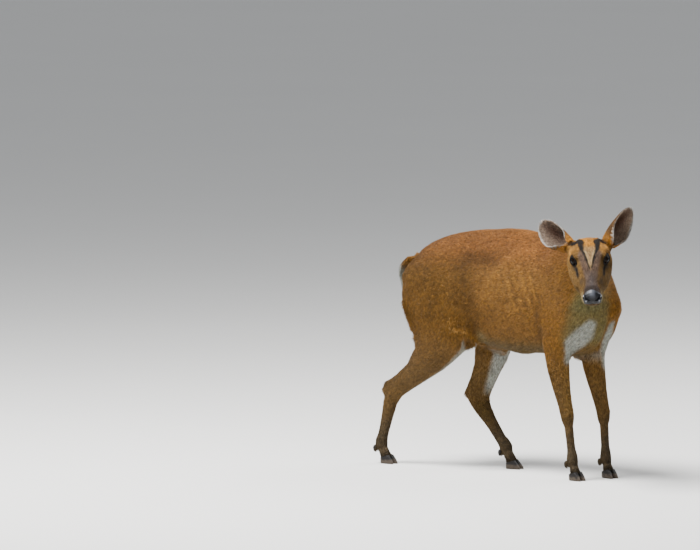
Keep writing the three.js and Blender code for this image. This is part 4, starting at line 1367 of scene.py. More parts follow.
@dataclass
class Skin:
    """One skin over the whole body, rounded off, carved, and set in by the coat's depth.

    Sizes are in millimetres. parting_swell closes the partings between trunk, legs and tail. A patch
    of finer faces has two reaches, for the first and the second halving of its faces.
    """

    pose: HeadPose
    ears: dict[Side, Ear]
    eyes: dict[Side, Eye]
    markings: Markings
    voxel: float = 1.5
    swell: float = 1.3
    ear_swell: float = 1.15
    parting_swell: float = 2.6
    nose_patch: Place = (182.0, -38.0, 12.0)
    nose_reach: tuple[float, float] = (18.0, 11.0)
    lip_patch: Place = (160.0, -53.0, 0.0)
    lip_reach: tuple[float, float] = (27.0, 0.0)
    eye_reach: tuple[float, float] = (19.0, 15.0)
    head_middle: Place = (100.0, -40.0, 0.0)
    fine_reach: float = 80.0
    fine_faces: int = 40000
    broad_faces: int = 72000

    def __post_init__(self) -> None:
        """Map the solids that the skin is formed from."""
        self.solids = SolidMap()

    def build(self, material: Material) -> Piece:
        """Make the skin.

        Args:
            material: The skin's finish.

        Returns:
            The finished piece.
        """
        skin = self._fused()
        self._round_off(skin)
        self._thin(skin)
        self._smooth_masses(skin)
        self._refine(skin)
        self._carve(skin)
        self.net = SurfaceNet(skin.data)
        self._mark(skin)
        dress(skin, material)
        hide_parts(*FLESH)
        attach(skin, BODY)
        return skin

    def _fused(self) -> Piece:
        """Copy the flesh and eye nodes, swell them over their gaps and fuse them into one surface.

        Trunk, neck and thighs are swelled once more after that, which closes the partings between them.

        Returns:
            The fused surface.
        """
        names = (*FLESH, *EYE_NODES)
        copies = [copy_solid(name) for name in names]
        for copy, name in zip(copies, names):
            weld(copy, 0.0 if name in EYE_NODES else self._swell(Region.of(name)))
        take(*copies)
        bpy.ops.object.join()
        skin = bpy.context.active_object
        skin.name = "skin"
        skin.data.materials.clear()
        skin.data.remesh_voxel_size = self.voxel * MM
        skin.data.remesh_voxel_adaptivity = 0.0
        bpy.ops.object.voxel_remesh()
        skin = self._outermost()
        positions = read_positions(skin.data)
        net = SurfaceNet(skin.data)
        masses = net.spread(self._masses(positions), 10)
        normals = unit(net.spread(read_normals(skin.data), 1))
        write_positions(skin.data, positions + normals * (masses * self.parting_swell * MM)[:, None])
        bpy.ops.object.voxel_remesh()
        return self._outermost()

    def _swell(self, region: Region) -> float:
        """How far the solids of a region are swelled at first."""
        return self.ear_swell if region is Region.EAR else self.swell

    @staticmethod
    def _outermost() -> Piece:
        """Keep the largest loose shell of the active object alone.

        Returns:
            That shell.
        """
        bpy.ops.mesh.separate(type="LOOSE")
        loose = sorted(bpy.context.selected_objects, key=lambda o: len(o.data.vertices))
        for scrap in loose[:-1]:
            bpy.data.objects.remove(scrap)
        take(loose[-1])
        loose[-1].name = "skin"
        return loose[-1]

    def _masses(self, positions: Array) -> Array:
        """Weigh the big masses of the body.

        Args:
            positions: The skin's vertices.

        Returns:
            1 on trunk, neck, thighs and tail, fading out above knees and hocks.
        """
        masses = [r.number for r in (Region.TRUNK, Region.NECK, Region.THIGH, Region.TAIL)]
        height = self.pose.drawn(positions)[:, 2]
        return np.isin(self.solids.regions(positions), masses) * ramp(height, 190, 250)

    def _round_off(self, skin: Piece) -> None:
        """Take the facets off, more on the trunk than on the face and the ears.

        Args:
            skin: The fused surface.
        """
        positions = read_positions(skin.data)
        regions = self.solids.regions(positions)
        net = SurfaceNet(skin.data)
        strength = net.spread(np.array([r.value.ease for r in REGIONS])[regions], 12)
        positions = net.ease(positions, np.ones(len(positions)) * 0.5, 3)
        write_positions(skin.data, net.ease(positions, strength, 36))

    def _smooth_masses(self, skin: Piece) -> None:
        """Smooth broad facets of trunk, neck and thighs, and round off fins and steps between them.

        Args:
            skin: The thinned surface.
        """
        positions = read_positions(skin.data)
        regions = self.solids.regions(positions)
        net = SurfaceNet(skin.data)
        masses = net.spread(self._masses(positions), 6) ** 2
        thigh = net.spread((regions == Region.THIGH.number).astype(float), 10)
        tail = net.spread((regions == Region.TAIL.number).astype(float), 6)
        seams = np.minimum(7.0 * masses * (thigh * (1.0 - thigh) + tail * (1.0 - tail)), 1.0)
        high = self.pose.drawn(positions)[:, 2] > 380
        torso = (regions == Region.TRUNK.number) | (high & (regions == Region.THIGH.number))
        torso = net.spread(torso.astype(float), 2)
        for _ in range(4):
            calm = net.spread(positions, 25)
            far = norm(calm - positions, axis=1) / MM
            positions = positions + (calm - positions) * (ramp(far, 3.0, 4.8) * torso)[:, None]
        for _ in range(45):
            positions = positions + (net.spread(positions, 1) - positions) * seams[:, None]
        write_positions(skin.data, net.ease(positions, masses, 60))

    def _thin(self, skin: Piece) -> None:
        """Lower the number of faces, most where the form is broad and least on the face and ears.

        Args:
            skin: The rounded surface.
        """
        for fine, wanted in ((False, self.broad_faces), (True, self.fine_faces)):
            centres = read_centres(skin.data)
            apart = norm((self.pose.read(centres) - self.head_middle) * [0.8, 1.0, 1.0], axis=1)
            for ear in self.ears.values():
                middle = ear.root + ear.axes[2] * ear.middle * MM
                apart = np.minimum(apart, norm(centres - middle, axis=1) / MM + 20)
            chosen = (apart < self.fine_reach) == fine
            self._select(skin, chosen)
            bpy.ops.mesh.quads_convert_to_tris()
            mode("OBJECT")
            total = len(skin.data.polygons)
            count = sum(1 for face in skin.data.polygons if face.select)
            mode("EDIT")
            bpy.ops.mesh.decimate(ratio=min(1.0, (total - count + wanted) / total))
            mode("OBJECT")
        log.info("skin: %d faces before the face is refined", len(skin.data.polygons))

    @staticmethod
    def _select(skin: Piece, chosen: Array) -> None:
        """Select faces alone and start to edit.

        Args:
            skin: The surface.
            chosen: Whether each face is selected.
        """
        take(skin)
        mode("EDIT")
        bpy.ops.mesh.select_mode(type="FACE")
        bpy.ops.mesh.select_all(action="DESELECT")
        mode("OBJECT")
        skin.data.polygons.foreach_set("select", chosen)
        mode("EDIT")

    def _refine(self, skin: Piece) -> None:
        """Give the eyes, nose and lips finer faces.

        Args:
            skin: The smoothed surface.
        """
        along, above, aside = self.nose_patch
        spots = [(self.pose.place(along, above, sign * aside), self.nose_reach) for sign in (1, -1)]
        spots.append((self.pose.place(*self.lip_patch), self.lip_reach))
        spots += [(eye.centre, self.eye_reach) for eye in self.eyes.values()]
        for level in (0, 1):
            centres = read_centres(skin.data)
            chosen = np.zeros(len(centres), bool)
            for place, reach in spots:
                chosen |= norm(centres - place, axis=1) < reach[level] * MM
            self._select(skin, chosen)
            bpy.ops.mesh.subdivide(number_cuts=1, smoothness=0.0)
            bpy.ops.mesh.select_all(action="SELECT")
            bpy.ops.mesh.quads_convert_to_tris()
            mode("OBJECT")

    def _carve(self, skin: Piece) -> None:
        """Set the skin in by the coat's depth, and carve body, face and lids.

        Args:
            skin: The refined surface.
        """
        mesh = skin.data
        net = SurfaceNet(mesh)
        positions = net.ease(read_positions(mesh), np.ones(len(mesh.vertices)) * 0.5, 3)
        write_positions(mesh, positions)
        normals = unit(net.spread(read_normals(mesh), 2))
        regions = self.solids.regions(positions)
        depths = np.array([r.value.depth + self._swell(r) for r in REGIONS])
        masses = net.spread(self._masses(positions), 6)
        inward = net.spread(depths[regions], 24) + self.parting_swell * masses
        body = Relief(self.pose).carve(positions) - inward
        positions = positions + normals * (body * MM)[:, None]
        face = Muzzle(self.pose).carve(positions)
        positions = positions + normals * (face * MM)[:, None]
        for eye in self.eyes.values():
            positions = eye.lids(positions)
        write_positions(mesh, positions)

    def _mark(self, skin: Piece) -> None:
        """Work out the regions' shares, the colours and where the skin is bare.

        Args:
            skin: The carved skin.
        """
        mesh = skin.data
        self.positions = read_positions(mesh)
        self.normals = unit(self.net.spread(read_normals(mesh), 3))
        self.region = self.solids.regions(self.positions)
        shares = np.eye(len(REGIONS))[self.region]
        nose = Region.NOSE.number
        wide = self.net.spread(shares, 14)
        tight = self.net.spread(shares[:, nose], 1)
        wide[:, nose] = 0.0
        self.shares = wide / np.maximum(wide.sum(axis=1, keepdims=True), 1e-6) * (1 - tight[:, None])
        self.shares[:, nose] = tight
        self.colours = self.markings.colour(self.positions, self.normals, self.shares)
        self.hollows = self.net.hollows(self.positions, self.normals)[:, None]
        bare = tight.copy()
        for eye in self.eyes.values():
            local = eye.read(self.positions)
            bare = np.maximum(bare, ramp(eye.rim_distance(local), 1.6, 0.6) * ramp(local[:, 2], 0, 4))
        self.bare = bare
        paint(mesh, "markings", self.colours)
        store(mesh, "bare", bare)


@dataclass
class Lie:
    """The way the hair lies: from the nose back over the head, down the body and out along the ears."""

    pose: HeadPose
    ears: dict[Side, Ear]

    def directions(self, skin: Skin) -> Array:
        """Give the hair's direction at each vertex of the skin.

        Args:
            skin: The finished skin.

        Returns:
            Directions along the surface, of length one.
        """
        drawn = self.pose.drawn(skin.positions)
        trunk = self._trunk(drawn)
        neck = unit(np.array(BodyLines.NECK[0], float) - np.array(BodyLines.NECK[-1], float))
        legs = self._legs(drawn)
        high = ramp(drawn[:, [2]], 260, 430)
        face = self._face(skin.positions)
        _, _, tail = to_line(drawn, BodyLines.TAIL)
        parts = {
            Region.TRUNK: trunk,
            Region.NECK: neck + [0.0, 0.0, -0.35],
            Region.THIGH: legs * (1 - high) + trunk * high,
            Region.SHANK: legs,
            Region.FACE: face,
            Region.NOSE: face,
            Region.EAR: self._ears(skin.positions),
            Region.TAIL: tail,
        }
        ways = np.zeros_like(drawn)
        for region, way in parts.items():
            ways += skin.shares[:, [region.number]] * way
        ways = unit(skin.net.spread(unit(ways), 60))
        flat = ways - skin.normals * (ways * skin.normals).sum(axis=1, keepdims=True)
        return unit(flat)

    @staticmethod
    def _trunk(drawn: Array) -> Array:
        """Lay the hair back and down over the trunk, and more steeply down over the haunches.

        Args:
            drawn: Places as drawn, in millimetres.

        Returns:
            Their directions.
        """
        fall = 0.18 + 0.5 * ramp(drawn[:, 2], 470, 330)
        fall = fall + 0.7 * ramp(drawn[:, 0], 0, -130) * ramp(drawn[:, 2], 490, 390)
        return unit(np.stack([-np.ones(len(drawn)), np.zeros(len(drawn)), -fall], axis=1))

    @staticmethod
    def _legs(drawn: Array) -> Array:
        """Lay the hair down each leg along its bones.

        Args:
            drawn: Places as drawn, in millimetres.

        Returns:
            Their directions.
        """
        best = np.full(len(drawn), np.inf)
        ways = np.zeros_like(drawn)
        for line in BodyLines.LEGS.values():
            far, _, way = to_line(drawn, line)
            near = far < best
            best[near] = far[near]
            ways[near] = way[near]
        return ways

    def _face(self, points: Array) -> Array:
        """Lay the hair from the nose back over the face, and down on the cheeks.

        Args:
            points: Places in the row frame.

        Returns:
            Their directions.
        """
        head = self.pose.read(points)
        low = ramp(head[:, 1], -30, -60)
        local = np.stack([-np.ones(len(points)), 0.1 - 0.45 * low, 0.12 * np.sign(head[:, 2])], axis=1)
        return unit(local) @ self.pose.axes

    def _ears(self, points: Array) -> Array:
        """Lay the hair out along each ear and towards its edges.

        Args:
            points: Places in the row frame.

        Returns:
            Their directions.
        """
        ways = np.zeros_like(points)
        for ear in self.ears.values():
            local = ear.read(points)
            near = ear.near(local)
            sweep, _ = ear.sweep(local)
            way = np.stack([np.full(len(points), 0.2), 0.5 * sweep, np.ones(len(points))], 1)
            ways[near] = (unit(way) @ ear.axes)[near]
        return unit(ways + [0.0, 0.0, 1e-6])


@dataclass
class Tufts:
    """Gathers tapered tufts and turns them into one joined mesh. Lengths in metres.

    taper is how much of its half width a tuft loses towards its tip, flatness how thick it is beside
    its width, and spot the radius of its patch on the unwrap.
    """

    taper: float = 0.45
    flatness: float = 0.62
    spot: float = 0.0015
    root_shade: float = 0.72
    tip_lightening: float = 0.42
    points: list[Array] = field(default_factory=list)
    faces: list[Array] = field(default_factory=list)
    colours: list[Array] = field(default_factory=list)
    spots: list[Array] = field(default_factory=list)
    count: int = 0

    def add(self, roots: Array, ways: Array, normals: Array, lengths: Array, widths: Array, droop: Array,
            steps: int, colours: Array, spots: Array) -> None:
        """Add tufts of one kind.

        Args:
            roots: Where they grow.
            ways: The directions in which they leave.
            normals: The skin's directions at their roots.
            lengths: Their lengths.
            widths: Their widths at the root.
            droop: How far each tip bends down towards the skin.
            steps: Stretches along each tuft.
            colours: One colour each.
            spots: The root's place on the skin's own unwrap.
        """
        across = unit(np.cross(normals, ways))
        back = unit(np.cross(ways, across))
        rings = []
        for step in range(steps):
            share = step / steps
            middle = roots + ways * (lengths * share)[:, None] - normals * (droop * share * share)[:, None]
            half = widths[:, None] * 0.5 * (1.0 - self.taper * share)
            rings.append(np.stack([middle + across * half, middle - across * half,
                                   middle + back * half * self.flatness], axis=1))
        tip = roots + ways * lengths[:, None] - normals * droop[:, None]
        block = np.concatenate([*rings, tip[:, None]], axis=1)
        size = 3 * steps + 1
        pattern = [(0, 2, 1)]
        for step in range(steps - 1):
            low, high = 3 * step, 3 * step + 3
            for a, b in ((0, 1), (1, 2), (2, 0)):
                pattern += [(low + a, low + b, high + b), (low + a, high + b, high + a)]
        last = 3 * (steps - 1)
        pattern += [(last, last + 1, size - 1), (last + 1, last + 2, size - 1), (last + 2, last, size - 1)]
        offsets = self.count + np.arange(len(roots)) * size
        self.faces.append((np.array(pattern)[None] + offsets[:, None, None]).reshape(-1, 3))
        self.points.append(block.reshape(-1, 3))
        rise = np.concatenate([np.repeat(np.arange(steps) / steps, 3), [1.0]])
        shade = self.root_shade + self.tip_lightening * rise
        self.colours.append((colours[:, None] * shade[None, :, None]).reshape(-1, 3))
        turn = np.concatenate([np.tile(np.arange(3) * 2 * math.pi / 3, steps), [0.0]])
        radius = self.spot * (1 - 0.8 * rise)
        ring = np.stack([np.cos(turn), np.sin(turn)], axis=1) * radius[:, None]
        self.spots.append((spots[:, None] + ring[None]).reshape(-1, 2))
        self.count += len(roots) * size

    def build(self, name: str, slot: str, material: Material, mapped: bool = True) -> Piece:
        """Join the tufts.

        Args:
            name: The piece's name.
            slot: The name of a material slot; not used.
            material: The piece's finish.
            mapped: Whether to keep the roots' places as the map for baking.

        Returns:
            The piece.
        """
        points = np.concatenate(self.points)
        faces = np.concatenate(self.faces)
        mesh = bpy.data.meshes.new(name)
        mesh.vertices.add(len(points))
        mesh.vertices.foreach_set("co", points.astype(np.float32).ravel())
        mesh.loops.add(faces.size)
        mesh.loops.foreach_set("vertex_index", faces.ravel().astype(np.int32))
        mesh.polygons.add(len(faces))
        mesh.polygons.foreach_set("loop_start", np.arange(len(faces), dtype=np.int32) * 3)
        mesh.update(calc_edges=True)
        paint(mesh, "markings", np.concatenate(self.colours))
        if mapped:
            layer = mesh.uv_layers.new(name="OFBake")
            spots = np.concatenate(self.spots)[faces.ravel()]
            layer.data.foreach_set("uv", np.clip(spots, 0.0, 1.0).astype(np.float32).ravel())
        mesh.materials.append(material)
        piece = bpy.data.objects.new(name, mesh)
        bpy.context.collection.objects.link(piece)
        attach(piece, BODY)
        log.info("%s: %d triangles", name, len(faces))
        return piece


@dataclass
class Coat:
    """The coat: tapered tufts over the whole skin, in pieces by region.

    sunk is the share of a tuft that is under the skin, stray how far tufts turn from the lie, and
    croup the place, in millimetres, round which the hair is shorter.
    """

    skin: Skin
    skin_piece: Piece
    ears: dict[Side, Ear]
    eyes: dict[Side, Eye]
    pose: HeadPose
    sunk: float = 0.02
    stray: float = math.radians(11)
    croup: Place = (-232.0, -20.0, 462.0)
    croup_shortening: float = 0.5

    def __post_init__(self) -> None:
        """Read the skin's triangles and unwrap its shape."""
        self.random = np.random.default_rng(SEED)
        self.corners = read_corners(self.skin_piece.data)
        self.ways = Lie(self.pose, self.ears).directions(self.skin)
        self.unwrap = SkinUnwrap(self.pose, self.ears)

    def _roots(self, region: Region) -> dict[str, Array]:
        """Scatter the roots of one region over the skin.

        Args:
            region: The region to cover.

        Returns:
            The roots' places, directions, skin directions, colours, shares and hollows, by name.
        """
        skin, corners = self.skin, self.corners
        mine = corners[skin.region[corners[:, 0]] == region.number]
        a, b, c = (skin.positions[mine[:, k]] for k in range(3))
        area = 0.5 * norm(np.cross(b - a, c - a), axis=1) / MM ** 2
        covered = 1.0 - skin.bare[mine].max(axis=1)
        wanted = area * region.value.density * (covered > 0.35)
        count = self.random.poisson(wanted)
        chosen = np.repeat(np.arange(len(mine)), count)
        first, second = self.random.random((2, len(chosen)))
        swap = first + second > 1
        first[swap], second[swap] = 1 - first[swap], 1 - second[swap]
        weights = np.stack([1 - first - second, first, second], axis=1)[:, :, None]
        found = {}
        for key, values in (("places", skin.positions), ("ways", self.ways), ("normals", skin.normals),
                            ("colours", skin.colours), ("shares", skin.shares), ("hollows", skin.hollows)):
            found[key] = (values[mine[chosen]] * weights).sum(axis=1)
        return found

    def build(self, material: Material) -> list[Piece]:
        """Grow the coat, one region after the other.

        Args:
            material: The hair's finish.

        Returns:
            The pieces.
        """
        pieces = []
        for region in Region:
            parts = region.value.pieces
            if not parts:
                continue
            found = self._roots(region)
            order = self.random.permutation(len(found["places"]))
            for part, chosen in enumerate(np.array_split(order, parts)):
                tufts = Tufts()
                self._grow(tufts, region, {key: values[chosen] for key, values in found.items()})
                name = f"coat_{region.name.lower()}" + (f"_{part + 1}" if parts > 1 else "")
                pieces.append(tufts.build(name, region.value.slot, material))
        return pieces

    def _grow(self, tufts: Tufts, region: Region, roots: dict[str, Array]) -> None:
        """Grow tufts on roots.

        Args:
            tufts: Where the tufts are gathered.
            region: The region they belong to.
            roots: Places, ways, normals, colours, shares and hollows.
        """
        count = len(roots["places"])
        normals = unit(roots["normals"])
        ways = unit(roots["ways"])
        pelts = [r.value for r in REGIONS]
        shares = roots["shares"]
        length = shares @ np.array([p.length for p in pelts])
        width = shares @ np.array([p.width for p in pelts])
        lift = shares @ np.array([p.lift for p in pelts])
        if region is Region.FACE:
            length = length * self._face_length(roots["places"])
        if region in (Region.TRUNK, Region.TAIL):
            croup = self.pose.on_body([self.croup])[0]
            near = ramp(norm(roots["places"] - croup, axis=1) / MM, 60.0, 20.0)
            length = length * (1 - self.croup_shortening * near)
        if region is Region.EAR:
            length, lift = self._ear_hair(roots["places"], normals, length, lift)
        length = length * self.random.uniform(0.72, 1.22, count)
        stray = self.random.normal(0.0, self.stray, count)
        aside = np.cross(normals, ways)
        ways = ways * np.cos(stray)[:, None] + aside * np.sin(stray)[:, None]
        rise = np.radians(lift * self.random.uniform(0.55, 1.3, count))
        rise = rise + np.arctan(0.7 * length * roots["hollows"][:, 0])
        leave = ways * np.cos(rise)[:, None] + normals * np.sin(rise)[:, None]
        tone = self.random.normal(1.0, 0.2, count)[:, None]
        warm = self.random.normal(0.0, 0.035, count)[:, None]
        colours = roots["colours"] * tone * (1 + warm * np.array([1.0, 0.0, -1.0]))
        sunk = (length * self.sunk * MM)[:, None]
        tufts.add(roots["places"] - normals * sunk, leave, normals, length * MM, width * MM,
                  length * MM * np.sin(rise) * 0.25, 1, np.clip(colours, 0.002, 0.9),
                  self.unwrap.places(region, roots["places"]))

    def _face_length(self, places: Array) -> Array:
        """Shorten the hair on the muzzle and round the eyes.

        Args:
            places: The roots' places.

        Returns:
            The factor on each tuft's length.
        """
        head = self.pose.read(places)
        factor = 1.25 - 0.7 * ramp(head[:, 0], 60, 165)
        for eye in self.eyes.values():
            far = norm(places - eye.centre, axis=1) / MM
            factor = factor * (0.55 + 0.45 * ramp(far, 14, 26))
        return factor + 0.25 * ramp(head[:, 1], -62, -80)

    def _ear_hair(self, places: Array, normals: Array, length: Array, lift: Array) -> tuple[Array, Array]:
        """Make the hairs longer and looser inside the cup and shorter at its edge.

        Args:
            places: The roots' places.
            normals: The skin's directions there.
            length: The tufts' lengths so far.
            lift: Their lifts so far.

        Returns:
            The changed lengths and lifts.
        """
        for ear in self.ears.values():
            local = ear.read(places)
            near = ear.near(local)
            sweep, away = ear.sweep(local)
            inner = ear.inner(normals, away) * near
            base = inner * ramp(np.abs(sweep), 0.45, 0.9)
            edge = near * np.maximum(ramp(np.abs(sweep), 0.9, 0.98), ramp(ear.share(local), 0.93, 1.0))
            length = length * (1 + 0.5 * base) * (1 - 0.35 * edge)
            lift = lift * (1 + 0.5 * base)
        return length, lift


@dataclass
class SkinUnwrap:
    """Lays the skin's own shape out flat: each part by its length and the angle round it."""

    pose: HeadPose
    ears: dict[Side, Ear]
    margin: float = 0.02

    def places(self, region: Region, points: Array) -> Array:
        """Find points on the unwrap.

        Args:
            region: The region they belong to.
            points: Places in the row frame.

        Returns:
            Two coordinates each, from 0 to 1.
        """
        drawn = self.pose.drawn(points)
        if region is Region.FACE:
            head = self.pose.read(points) + [0.0, 44.0, 0.0]
            return self._cell(head[:, 0], (-15, 195), np.arctan2(head[:, 2], head[:, 1]))
        if region is Region.EAR:
            return self._ears(points)
        if region is Region.NECK:
            line = np.array(BodyLines.NECK, float)
            _, place, _ = to_line(drawn, line)
            middle = drawn - line[0] - np.outer(place / 3, line[-1] - line[0])
            return self._cell(place, (0, 3), np.arctan2(middle[:, 1], middle[:, 2]))
        if region is Region.TAIL:
            line = np.array(BodyLines.TAIL, float)
            _, place, _ = to_line(drawn, line)
            middle = drawn - self._along(line, place)
            return self._cell(place, (0, len(line) - 1), np.arctan2(middle[:, 1], -middle[:, 0]))
        if region is Region.TRUNK:
            angle = np.arctan2(BodyLines.beside(drawn), drawn[:, 2] - 410.0)
            return self._cell(drawn[:, 0], (-280, 300), angle)
        return self._legs(drawn, region)

    def _cell(self, length: Array, ends: tuple[float, float], angle: Array, cell: int = 0,
              cells: int = 1) -> Array:
        """Place points in one of several cells side by side.

        Args:
            length: How far along the part they lie.
            ends: The lengths at the part's two ends.
            angle: The angle round the part.
            cell: The number of the part's cell.
            cells: How many cells there are.

        Returns:
            Two coordinates each, from 0 to 1.
        """
        low, high = ends
        across = np.clip(angle / (2 * math.pi) + 0.5, 0, 1) * (1 - 2 * self.margin) + self.margin
        share = np.clip((length - low) / (high - low), 0, 1) * (1 - 2 * self.margin) + self.margin
        return np.stack([share, (cell + across) / cells], axis=1)

    @staticmethod
    def _along(line: Array, place: Array) -> Array:
        """The points of a chain at places along it."""
        steps = np.arange(len(line))
        return np.stack([np.interp(place, steps, line[:, k]) for k in range(3)], axis=1)

    def _ears(self, points: Array) -> Array:
        """Lay out both ears, each in a cell of its own.

        Args:
            points: Places in the row frame.

        Returns:
            Two coordinates each, from 0 to 1.
        """
        found = np.zeros((len(points), 2))
        for number, ear in enumerate(self.ears.values()):
            local = ear.read(points)
            near = ear.near(local)
            angle = np.arctan2(local[:, 1], -local[:, 0])
            found[near] = self._cell(local[:, 2], (0, 115), angle, number, 2)[near]
        return found

    def _legs(self, drawn: Array, region: Region) -> Array:
        """Lay out four legs side by side.

        Args:
            drawn: Places as drawn, in millimetres.
            region: Thighs or shanks.

        Returns:
            Two coordinates each, from 0 to 1.
        """
        best = np.full(len(drawn), np.inf)
        found = np.zeros((len(drawn), 2))
        span = (0.0, 2.0) if region is Region.THIGH else (1.9, 4.0)
        for number, joints in enumerate(BodyLines.LEGS.values()):
            line = np.array(joints, float)
            far, place, _ = to_line(drawn, line)
            middle = drawn - self._along(line, place)
            cell = self._cell(place, span, np.arctan2(middle[:, 1], middle[:, 0]), number, 4)
            near = far < best
            best[near] = far[near]
            found[near] = cell[near]
        return found


@dataclass
class FaceHairs:
    """Lashes on the upper lids and a few whiskers on lips and chin, in millimetres."""

    pose: HeadPose
    eyes: dict[Side, Eye]
    surface: "SkinSurface"
    material: Material
    lashes: int = 30
    lash_width: float = 0.6
    whiskers: Line = ((178.0, -46.0, 17.0), (172.0, -48.0, 19.0), (166.0, -46.0, 21.0), (160.0, -49.0, 22.0),
                      (172.0, -60.0, 8.0), (164.0, -63.0, 10.0), (156.0, -65.0, 9.0))
    whisker_width: float = 0.3
    shortest: float = 12.0
    longest: float = 19.0
    tone: float = 0.01

    def __post_init__(self) -> None:
        """Start the hairs' own random draws."""
        self.random = np.random.default_rng(SEED + 1)

    def build(self) -> None:
        """Make the lashes of each eye and the whiskers."""
        for side, eye in self.eyes.items():
            roots, ways, lengths = eye.lash_line(self.lashes)
            count = len(roots)
            ways = unit(ways + self.random.normal(0, 0.10, (count, 3)))
            tufts = Tufts()
            tufts.add(roots - ways * 0.0012, ways, np.tile(eye.axes[1], (count, 1)), lengths * MM,
                      np.full(count, self.lash_width * MM), lengths * MM * 0.22, 3,
                      np.full((count, 3), self.tone), np.zeros((count, 2)))
            tufts.build(f"lashes_{side.name.lower()}", "eye", self.material, mapped=False)
        tufts = Tufts()
        for sign in (-1, 1):
            for along, above, aside in self.whiskers:
                root, normal = self.surface.nearest(self.pose.place(along, above, sign * aside))
                bend = np.array([-0.5, -0.35, 0.0]) + self.random.normal(0, 0.12, 3)
                way = unit(normal + bend @ self.pose.axes)
                length = self.random.uniform(self.shortest, self.longest) * MM
                tufts.add((root - way * 0.001)[None], way[None], normal[None], np.array([length]),
                          np.array([self.whisker_width * MM]), np.array([length * 0.3]), 3,
                          np.full((1, 3), self.tone), np.zeros((1, 2)))
        tufts.build("whiskers", "face", self.material, mapped=False)


class SkinSurface:
    """Finds the nearest place on the skin."""

    def __init__(self, skin: Skin, corners: Array) -> None:
        """Build the search tree."""
        self.skin = skin
        self.tree = BVHTree.FromPolygons(skin.positions.tolist(), corners.tolist())

    def nearest(self, point: Array) -> tuple[Array, Array]:
        """The nearest place on the skin and its direction there."""
        place, normal, _, _ = self.tree.find_nearest(Vector(point))
        return np.array(place), np.array(normal)


@dataclass
class Hooves:
    """The eight claws and eight dewclaws, in dark horn. Sizes in millimetres."""

    pose: HeadPose
    material: Material
    voxel: float = 0.8
    line_spacing: float = 1.9
    line_depth: float = 0.07
    dewclaw: Place = (4.4, 3.9, 7.6)
    dewclaw_place: Place = (-12.5, 8.2, -11.0)

    def build(self) -> None:
        """Model every claw and dewclaw."""
        for leg in LEG_NAMES:
            for whose in ("inner", "outer"):
                self._claw(f"hoof_{leg}_{whose}", f"claw_{leg}_{whose}")
            for sign in (-1, 1):
                self._dewclaw(leg, sign)

    def _claw(self, node: str, name: str) -> None:
        """Round off one claw's solid and score growth lines round it.

        Args:
            node: The solid node.
            name: The new piece's name.
        """
        claw = copy_solid(node)
        claw.name = name
        weld(claw)
        claw.data.materials.clear()
        claw.data.remesh_voxel_size = self.voxel * MM
        bpy.ops.object.voxel_remesh()
        net = SurfaceNet(claw.data)
        positions = read_positions(claw.data)
        sole = positions[:, 2].min()
        positions = net.ease(positions, np.full(len(positions), 0.8), 8)
        lines = np.sin(positions[:, 2] / MM * 2 * math.pi / self.line_spacing) * self.line_depth * MM
        positions[:, :2] += read_normals(claw.data)[:, :2] * lines[:, None]
        positions[:, 2] = np.maximum(positions[:, 2], sole)
        write_positions(claw.data, positions)
        dress(claw, self.material)
        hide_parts(node)
        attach(claw, BODY)

    def _dewclaw(self, leg: str, sign: int) -> None:
        """Model one dewclaw: a small blunt cone of horn behind the fetlock.

        Args:
            leg: The leg's name.
            sign: 1 for the dewclaw on its left and -1 for the one on its right.
        """
        heading = math.radians(BodyLines.LEG_HEADINGS[leg])
        ahead = np.array([math.cos(heading), math.sin(heading), 0.0])
        aside = np.array([-ahead[1], ahead[0], 0.0])
        fetlock = self.pose.on_body([BodyLines.LEGS[leg][3]])[0]
        back, out, down = self.dewclaw_place
        place = fetlock + (ahead * back + aside * sign * out + np.array([0, 0, down])) * MM
        bpy.ops.mesh.primitive_uv_sphere_add(segments=20, ring_count=14, radius=MM, location=tuple(place))
        claw = bpy.context.active_object
        claw.name = f"dewclaw_{leg}_" + ("left" if sign > 0 else "right")
        bpy.ops.object.transform_apply(location=True)
        local = (read_positions(claw.data) - place) / MM * np.array(self.dewclaw)
        low = ramp(local[:, 2], 3.0, -self.dewclaw[2])
        local[:, :2] *= (1 - 0.5 * low)[:, None]
        local[:, 0] -= 1.6 * low
        write_positions(claw.data, place + local * MM)
        dress(claw, self.material)
        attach(claw, BODY)


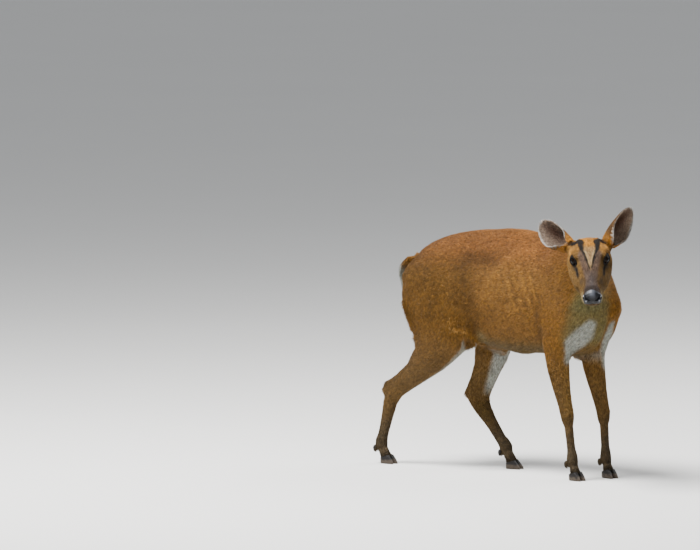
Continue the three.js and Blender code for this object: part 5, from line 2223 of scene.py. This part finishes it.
@dataclass
class Studio:
    """Plain pale floor, soft light from above, and a camera at the photograph's angle.

    Sizes are in metres, aim is in millimetres as the body is drawn, the lens in millimetres, and each
    light has its place, its size and its power.
    """

    pose: HeadPose
    azimuth: float = 42.0
    elevation: float = 5.0
    distance: float = 25.0
    lens: float = 578.0
    aim: Place = (-269.2, -242.4, 438.0)
    floor_radius: float = 60.0
    floor_colour: Colour = (0.74, 0.73, 0.71)
    world_colour: Colour = (0.93, 0.96, 1.0)
    world_strength: float = 0.45
    lights: dict[str, tuple[Place, float, float]] = field(default_factory=lambda: {
        "key": ((-0.7, -1.5, 3.7), 1.8, 330.0),
        "fill": ((3.2, -2.4, 1.4), 2.4, 26.0),
        "rim": ((0.6, 3.0, 2.6), 2.4, 50.0),
    })

    def build(self) -> None:
        """Set the camera, the floor and the lights."""
        self._camera()
        self._floor()
        for name, (place, size, power) in self.lights.items():
            self._light(name, place, size, power)
        world = bpy.data.worlds.new("studio")
        world.use_nodes = True
        background = next(n for n in world.node_tree.nodes if n.type == "BACKGROUND")
        background.inputs["Color"].default_value = (*self.world_colour, 1.0)
        background.inputs["Strength"].default_value = self.world_strength
        scene = bpy.context.scene
        scene.world = world
        scene.view_settings.view_transform = "AgX"
        scene.view_settings.look = "AgX - Medium High Contrast"

    def _camera(self) -> None:
        """Stand the camera where the photograph was taken from, with its framing."""
        a, e = math.radians(self.azimuth), math.radians(self.elevation)
        back = Vector((math.sin(a) * math.cos(e), -math.cos(a) * math.cos(e), math.sin(e)))
        aim = Vector(self.pose.on_body([self.aim])[0])
        bpy.ops.object.camera_add(location=tuple(aim + back * self.distance))
        camera = bpy.context.active_object
        camera.name = "photo_camera"
        camera.rotation_mode = "QUATERNION"
        camera.rotation_quaternion = (-back).to_track_quat("-Z", "Y")
        camera.data.lens = self.lens
        camera.data.sensor_width = 36.0
        camera.data.clip_start = 0.5
        camera.data.clip_end = 200.0
        bpy.context.scene.camera = camera

    def _floor(self) -> None:
        """Lay a wide round floor with its finish."""
        bpy.ops.mesh.primitive_circle_add(vertices=128, radius=self.floor_radius, fill_type="NGON")
        floor = bpy.context.active_object
        floor.name = "floor"
        painter = NodePainter("floor", Roughness=0.9, Specular_IOR_Level=0.2)
        cloud = painter.noise(1.5, 3.0)
        darker = tuple(0.97 * v for v in self.floor_colour)
        painter.feed(Base_Color=painter.mix(cloud, darker, self.floor_colour))
        floor.data.materials.append(painter.material)

    @staticmethod
    def _light(name: str, place: Place, size: float, power: float) -> None:
        """Hang one soft light that looks at the animal.

        Args:
            name: Its name.
            place: Where it hangs.
            size: The length of its side.
            power: Its power in watts.
        """
        bpy.ops.object.light_add(type="AREA", location=place)
        light = bpy.context.active_object
        light.name = name
        light.data.size = size
        light.data.energy = power
        towards = Vector((0.0, 0.0, 0.3)) - Vector(place)
        light.rotation_mode = "QUATERNION"
        light.rotation_quaternion = towards.to_track_quat("-Z", "Y")
        light.visible_camera = False


def main() -> None:
    """Build the doe and the studio, piece by piece."""
    logging.basicConfig(level=logging.INFO, format="%(name)s: %(message)s", force=True)
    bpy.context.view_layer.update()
    pose = HeadPose()
    Studio(pose).build()
    log.info("studio set")
    ears = {side: Ear(side, pose) for side in Side}
    eyes = {side: Eye(side, pose) for side in Side}
    for eye in eyes.values():
        globe = eye.build(EyeFinish().make())
        log.info("%s: %d faces", globe.name, len(globe.data.polygons))
    markings = Markings(pose, ears, eyes)
    skin = Skin(pose, ears, eyes, markings)
    piece = skin.build(SkinFinish().make())
    log.info("skin: %d faces", len(piece.data.polygons))
    coat = Coat(skin, piece, ears, eyes, pose)
    pieces = coat.build(HairFinish().make())
    log.info("coat: %d pieces", len(pieces))
    FaceHairs(pose, eyes, SkinSurface(skin, coat.corners), LashFinish().make()).build()
    Hooves(pose, HornFinish().make()).build()
    log.info("claws and dewclaws made")


if __name__ == "__main__":
    main()
